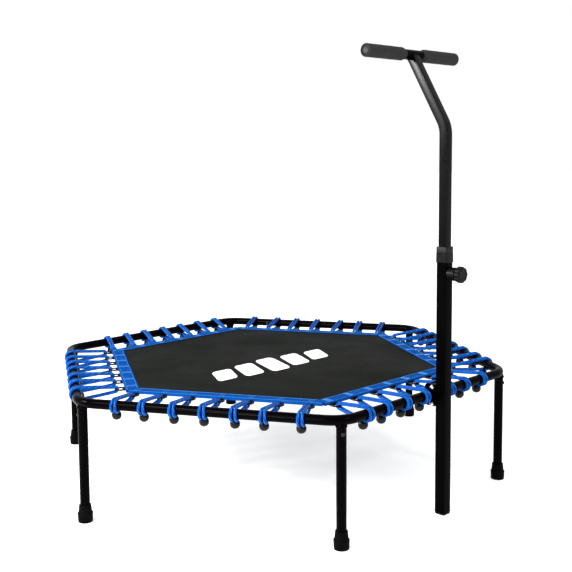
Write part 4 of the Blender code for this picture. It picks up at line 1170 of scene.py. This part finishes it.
def grip_part(matrix):
    """A foam sleeve with a conical inner end, a slightly uneven body and a round outer end."""
    start, end = GRIP_END - GRIP_LENGTH, GRIP_END
    bore = BAR_R + 0.0002
    profile = [(bore, start + 0.004), (bore, start), (GRIP_R - 0.0034, start)]
    profile += [(GRIP_R - 0.0004, start + 0.0085)]
    profile += [(GRIP_R, start + 0.011 + (GRIP_LENGTH - 0.017) * t / 14) for t in range(15)]
    for angle in arc(15, 75, 5):
        profile.append((GRIP_R - 0.0048 * (1 - math.cos(angle)), end - 0.005 + 0.005 * math.sin(angle)))
    profile += [(bore + 0.0006, end), (bore, end - 0.0006), (bore, end - 0.004)]
    phase = dice.uniform(0, 6)

    def uneven(angle, radius, height):
        if radius < GRIP_R - 0.002:
            return 0
        return 0.00012 * math.sin(3 * angle + phase) + 0.00010 * math.sin(140 * height + phase)

    return bridge(turned(profile, 64, matrix, uneven))


# ---------------------------------------------------------------- pull pin and knob

def build_knob():
    """An eight-lobed head on a round skirt, with a step between them and a dished face."""
    here = aim((POST_X, POST_Y - POST_WIDTH / 2, PIN_Z), -Y_AXIS)
    neck = KNOB_REACH - KNOB_HEAD_DEPTH
    body = [(0.0100, 0.0060, 0), (0.0102, 0.0016, 0), (KNOB_SKIRT_R - 0.0008, 0.0015, 0),
            (KNOB_SKIRT_R, 0.0022, 0), (KNOB_SKIRT_R + 0.0003, 0.0090, 0),
            (KNOB_SKIRT_R + 0.0012, neck - 0.0006, 0),
            (KNOB_SKIRT_R + 0.0008, neck, 0), (KNOB_SKIRT_R - 0.0006, neck + 0.0005, 0),
            (KNOB_SKIRT_R + 0.0003, neck + 0.0012, 0.3), (KNOB_HEAD_R - 0.0012, neck + 0.0034, 0.9),
            (KNOB_HEAD_R - 0.0002, neck + 0.0048, 1), (KNOB_HEAD_R, neck + 0.0065, 1),
            (KNOB_HEAD_R, KNOB_REACH - 0.0040, 1), (KNOB_HEAD_R - 0.0006, KNOB_REACH - 0.0022, 1),
            (KNOB_HEAD_R - 0.0020, KNOB_REACH - 0.0008, 0.9), (KNOB_HEAD_R - 0.0042, KNOB_REACH, 0.6),
            (0.0118, KNOB_REACH - 0.0001, 0.1), (0.0112, KNOB_REACH - 0.0008, 0),
            (0.0104, KNOB_REACH - 0.0011, 0), (0.0060, KNOB_REACH - 0.0009, 0),
            (0.0003, KNOB_REACH - 0.0008, 0)]
    loops = []
    for radius, height, lobed in body:
        ring = []
        for i in range(128):
            angle = 2 * math.pi * i / 128
            dip = (1 - abs(math.cos(KNOB_LOBES * angle / 2)) ** 0.7) * 0.0022 * lobed
            reach = radius - dip
            ring.append(Vector((reach * math.cos(angle), reach * math.sin(angle), height)))
        loops.append(ring)
    add("knob_head", [bridge(loops)], PLASTIC, "knob", ["knob"], here, 30)
    soften("pull_pin", ZINC, 0)
    soften("pin_spring", ZINC, 0)


# ---------------------------------------------------------------- floor, lights, camera

def build_stage():
    half = 30
    mesh = bpy.data.meshes.new("floor")
    corners = [(a * half, b * half, 0) for a, b in ((-1, -1), (1, -1), (1, 1), (-1, 1))]
    mesh.from_pydata(corners, [], [(0, 1, 2, 3)])
    paint = Paint("pale_floor", (0.85, 0.85, 0.85), 0.8, specular=0.05)
    paint.set("Emission Color", (1, 1, 1, 1))
    paint.set("Emission Strength", 0.42)
    mesh.materials.append(paint.material)
    floor = bpy.data.objects.new("floor", mesh)
    bpy.context.scene.collection.objects.link(floor)


def area_light(name, spot, target, size, power):
    light = bpy.data.lights.new(name, "AREA")
    light.shape = "RECTANGLE"
    light.size, light.size_y = size
    light.energy = power
    item = bpy.data.objects.new(name, light)
    bpy.context.scene.collection.objects.link(item)
    item.location = spot
    item.rotation_euler = (Vector(target) - Vector(spot)).to_track_quat("-Z", "Y").to_euler()


def build_lights():
    world = bpy.data.worlds.new("studio")
    bpy.context.scene.world = world
    world.use_nodes = True
    background = world.node_tree.nodes["Background"]
    background.inputs["Color"].default_value = (1.0, 1.0, 1.0, 1)
    background.inputs["Strength"].default_value = 1.0
    area_light("key", (-3.4, -0.2, 2.6), (0, 0, 0.3), (0.8, 0.8), 100)
    area_light("small", (0.2, -3.4, 2.4), (0, 0, 0.3), (0.35, 0.35), 30)
    area_light("low", (-3.4, -1.0, 1.0), (0, 0, 0.27), (0.28, 0.28), 45)
    area_light("strip", (-2.5, 1.4, 1.60), (0, -0.5, 1.1), (0.3, 0.6), 90)
    bpy.context.scene.view_settings.view_transform = "Standard"


def build_camera():
    """The camera looks slightly down at the fourth side, and the handle stands to its right."""
    camera = bpy.data.cameras.new("camera")
    camera.sensor_width = 36
    camera.lens = 58.52
    camera.shift_y = -0.0787
    camera.clip_end = 100
    item = bpy.data.objects.new("camera", camera)
    bpy.context.scene.collection.objects.link(item)
    yaw, pitch, roll = math.radians(44.614), math.radians(5.438), math.radians(-0.4153)
    turn = Matrix.Rotation(-yaw, 3, "Z") @ Matrix.Rotation(math.pi / 2 - pitch, 3, "X")
    turn = turn @ Matrix.Rotation(roll, 3, "Z")
    item.rotation_euler = turn.to_euler()
    item.location = (-1.83056, -1.88198, 0.89388)
    bpy.context.scene.camera = item


build_camera()
build_stage()
build_lights()
build_frame()
mat_sheet, mat_print, mat_flat, mat_area = build_mat()
border_pieces = build_border()
build_loops()
build_post()
build_clamp()
build_collar()
build_handle()
build_knob()
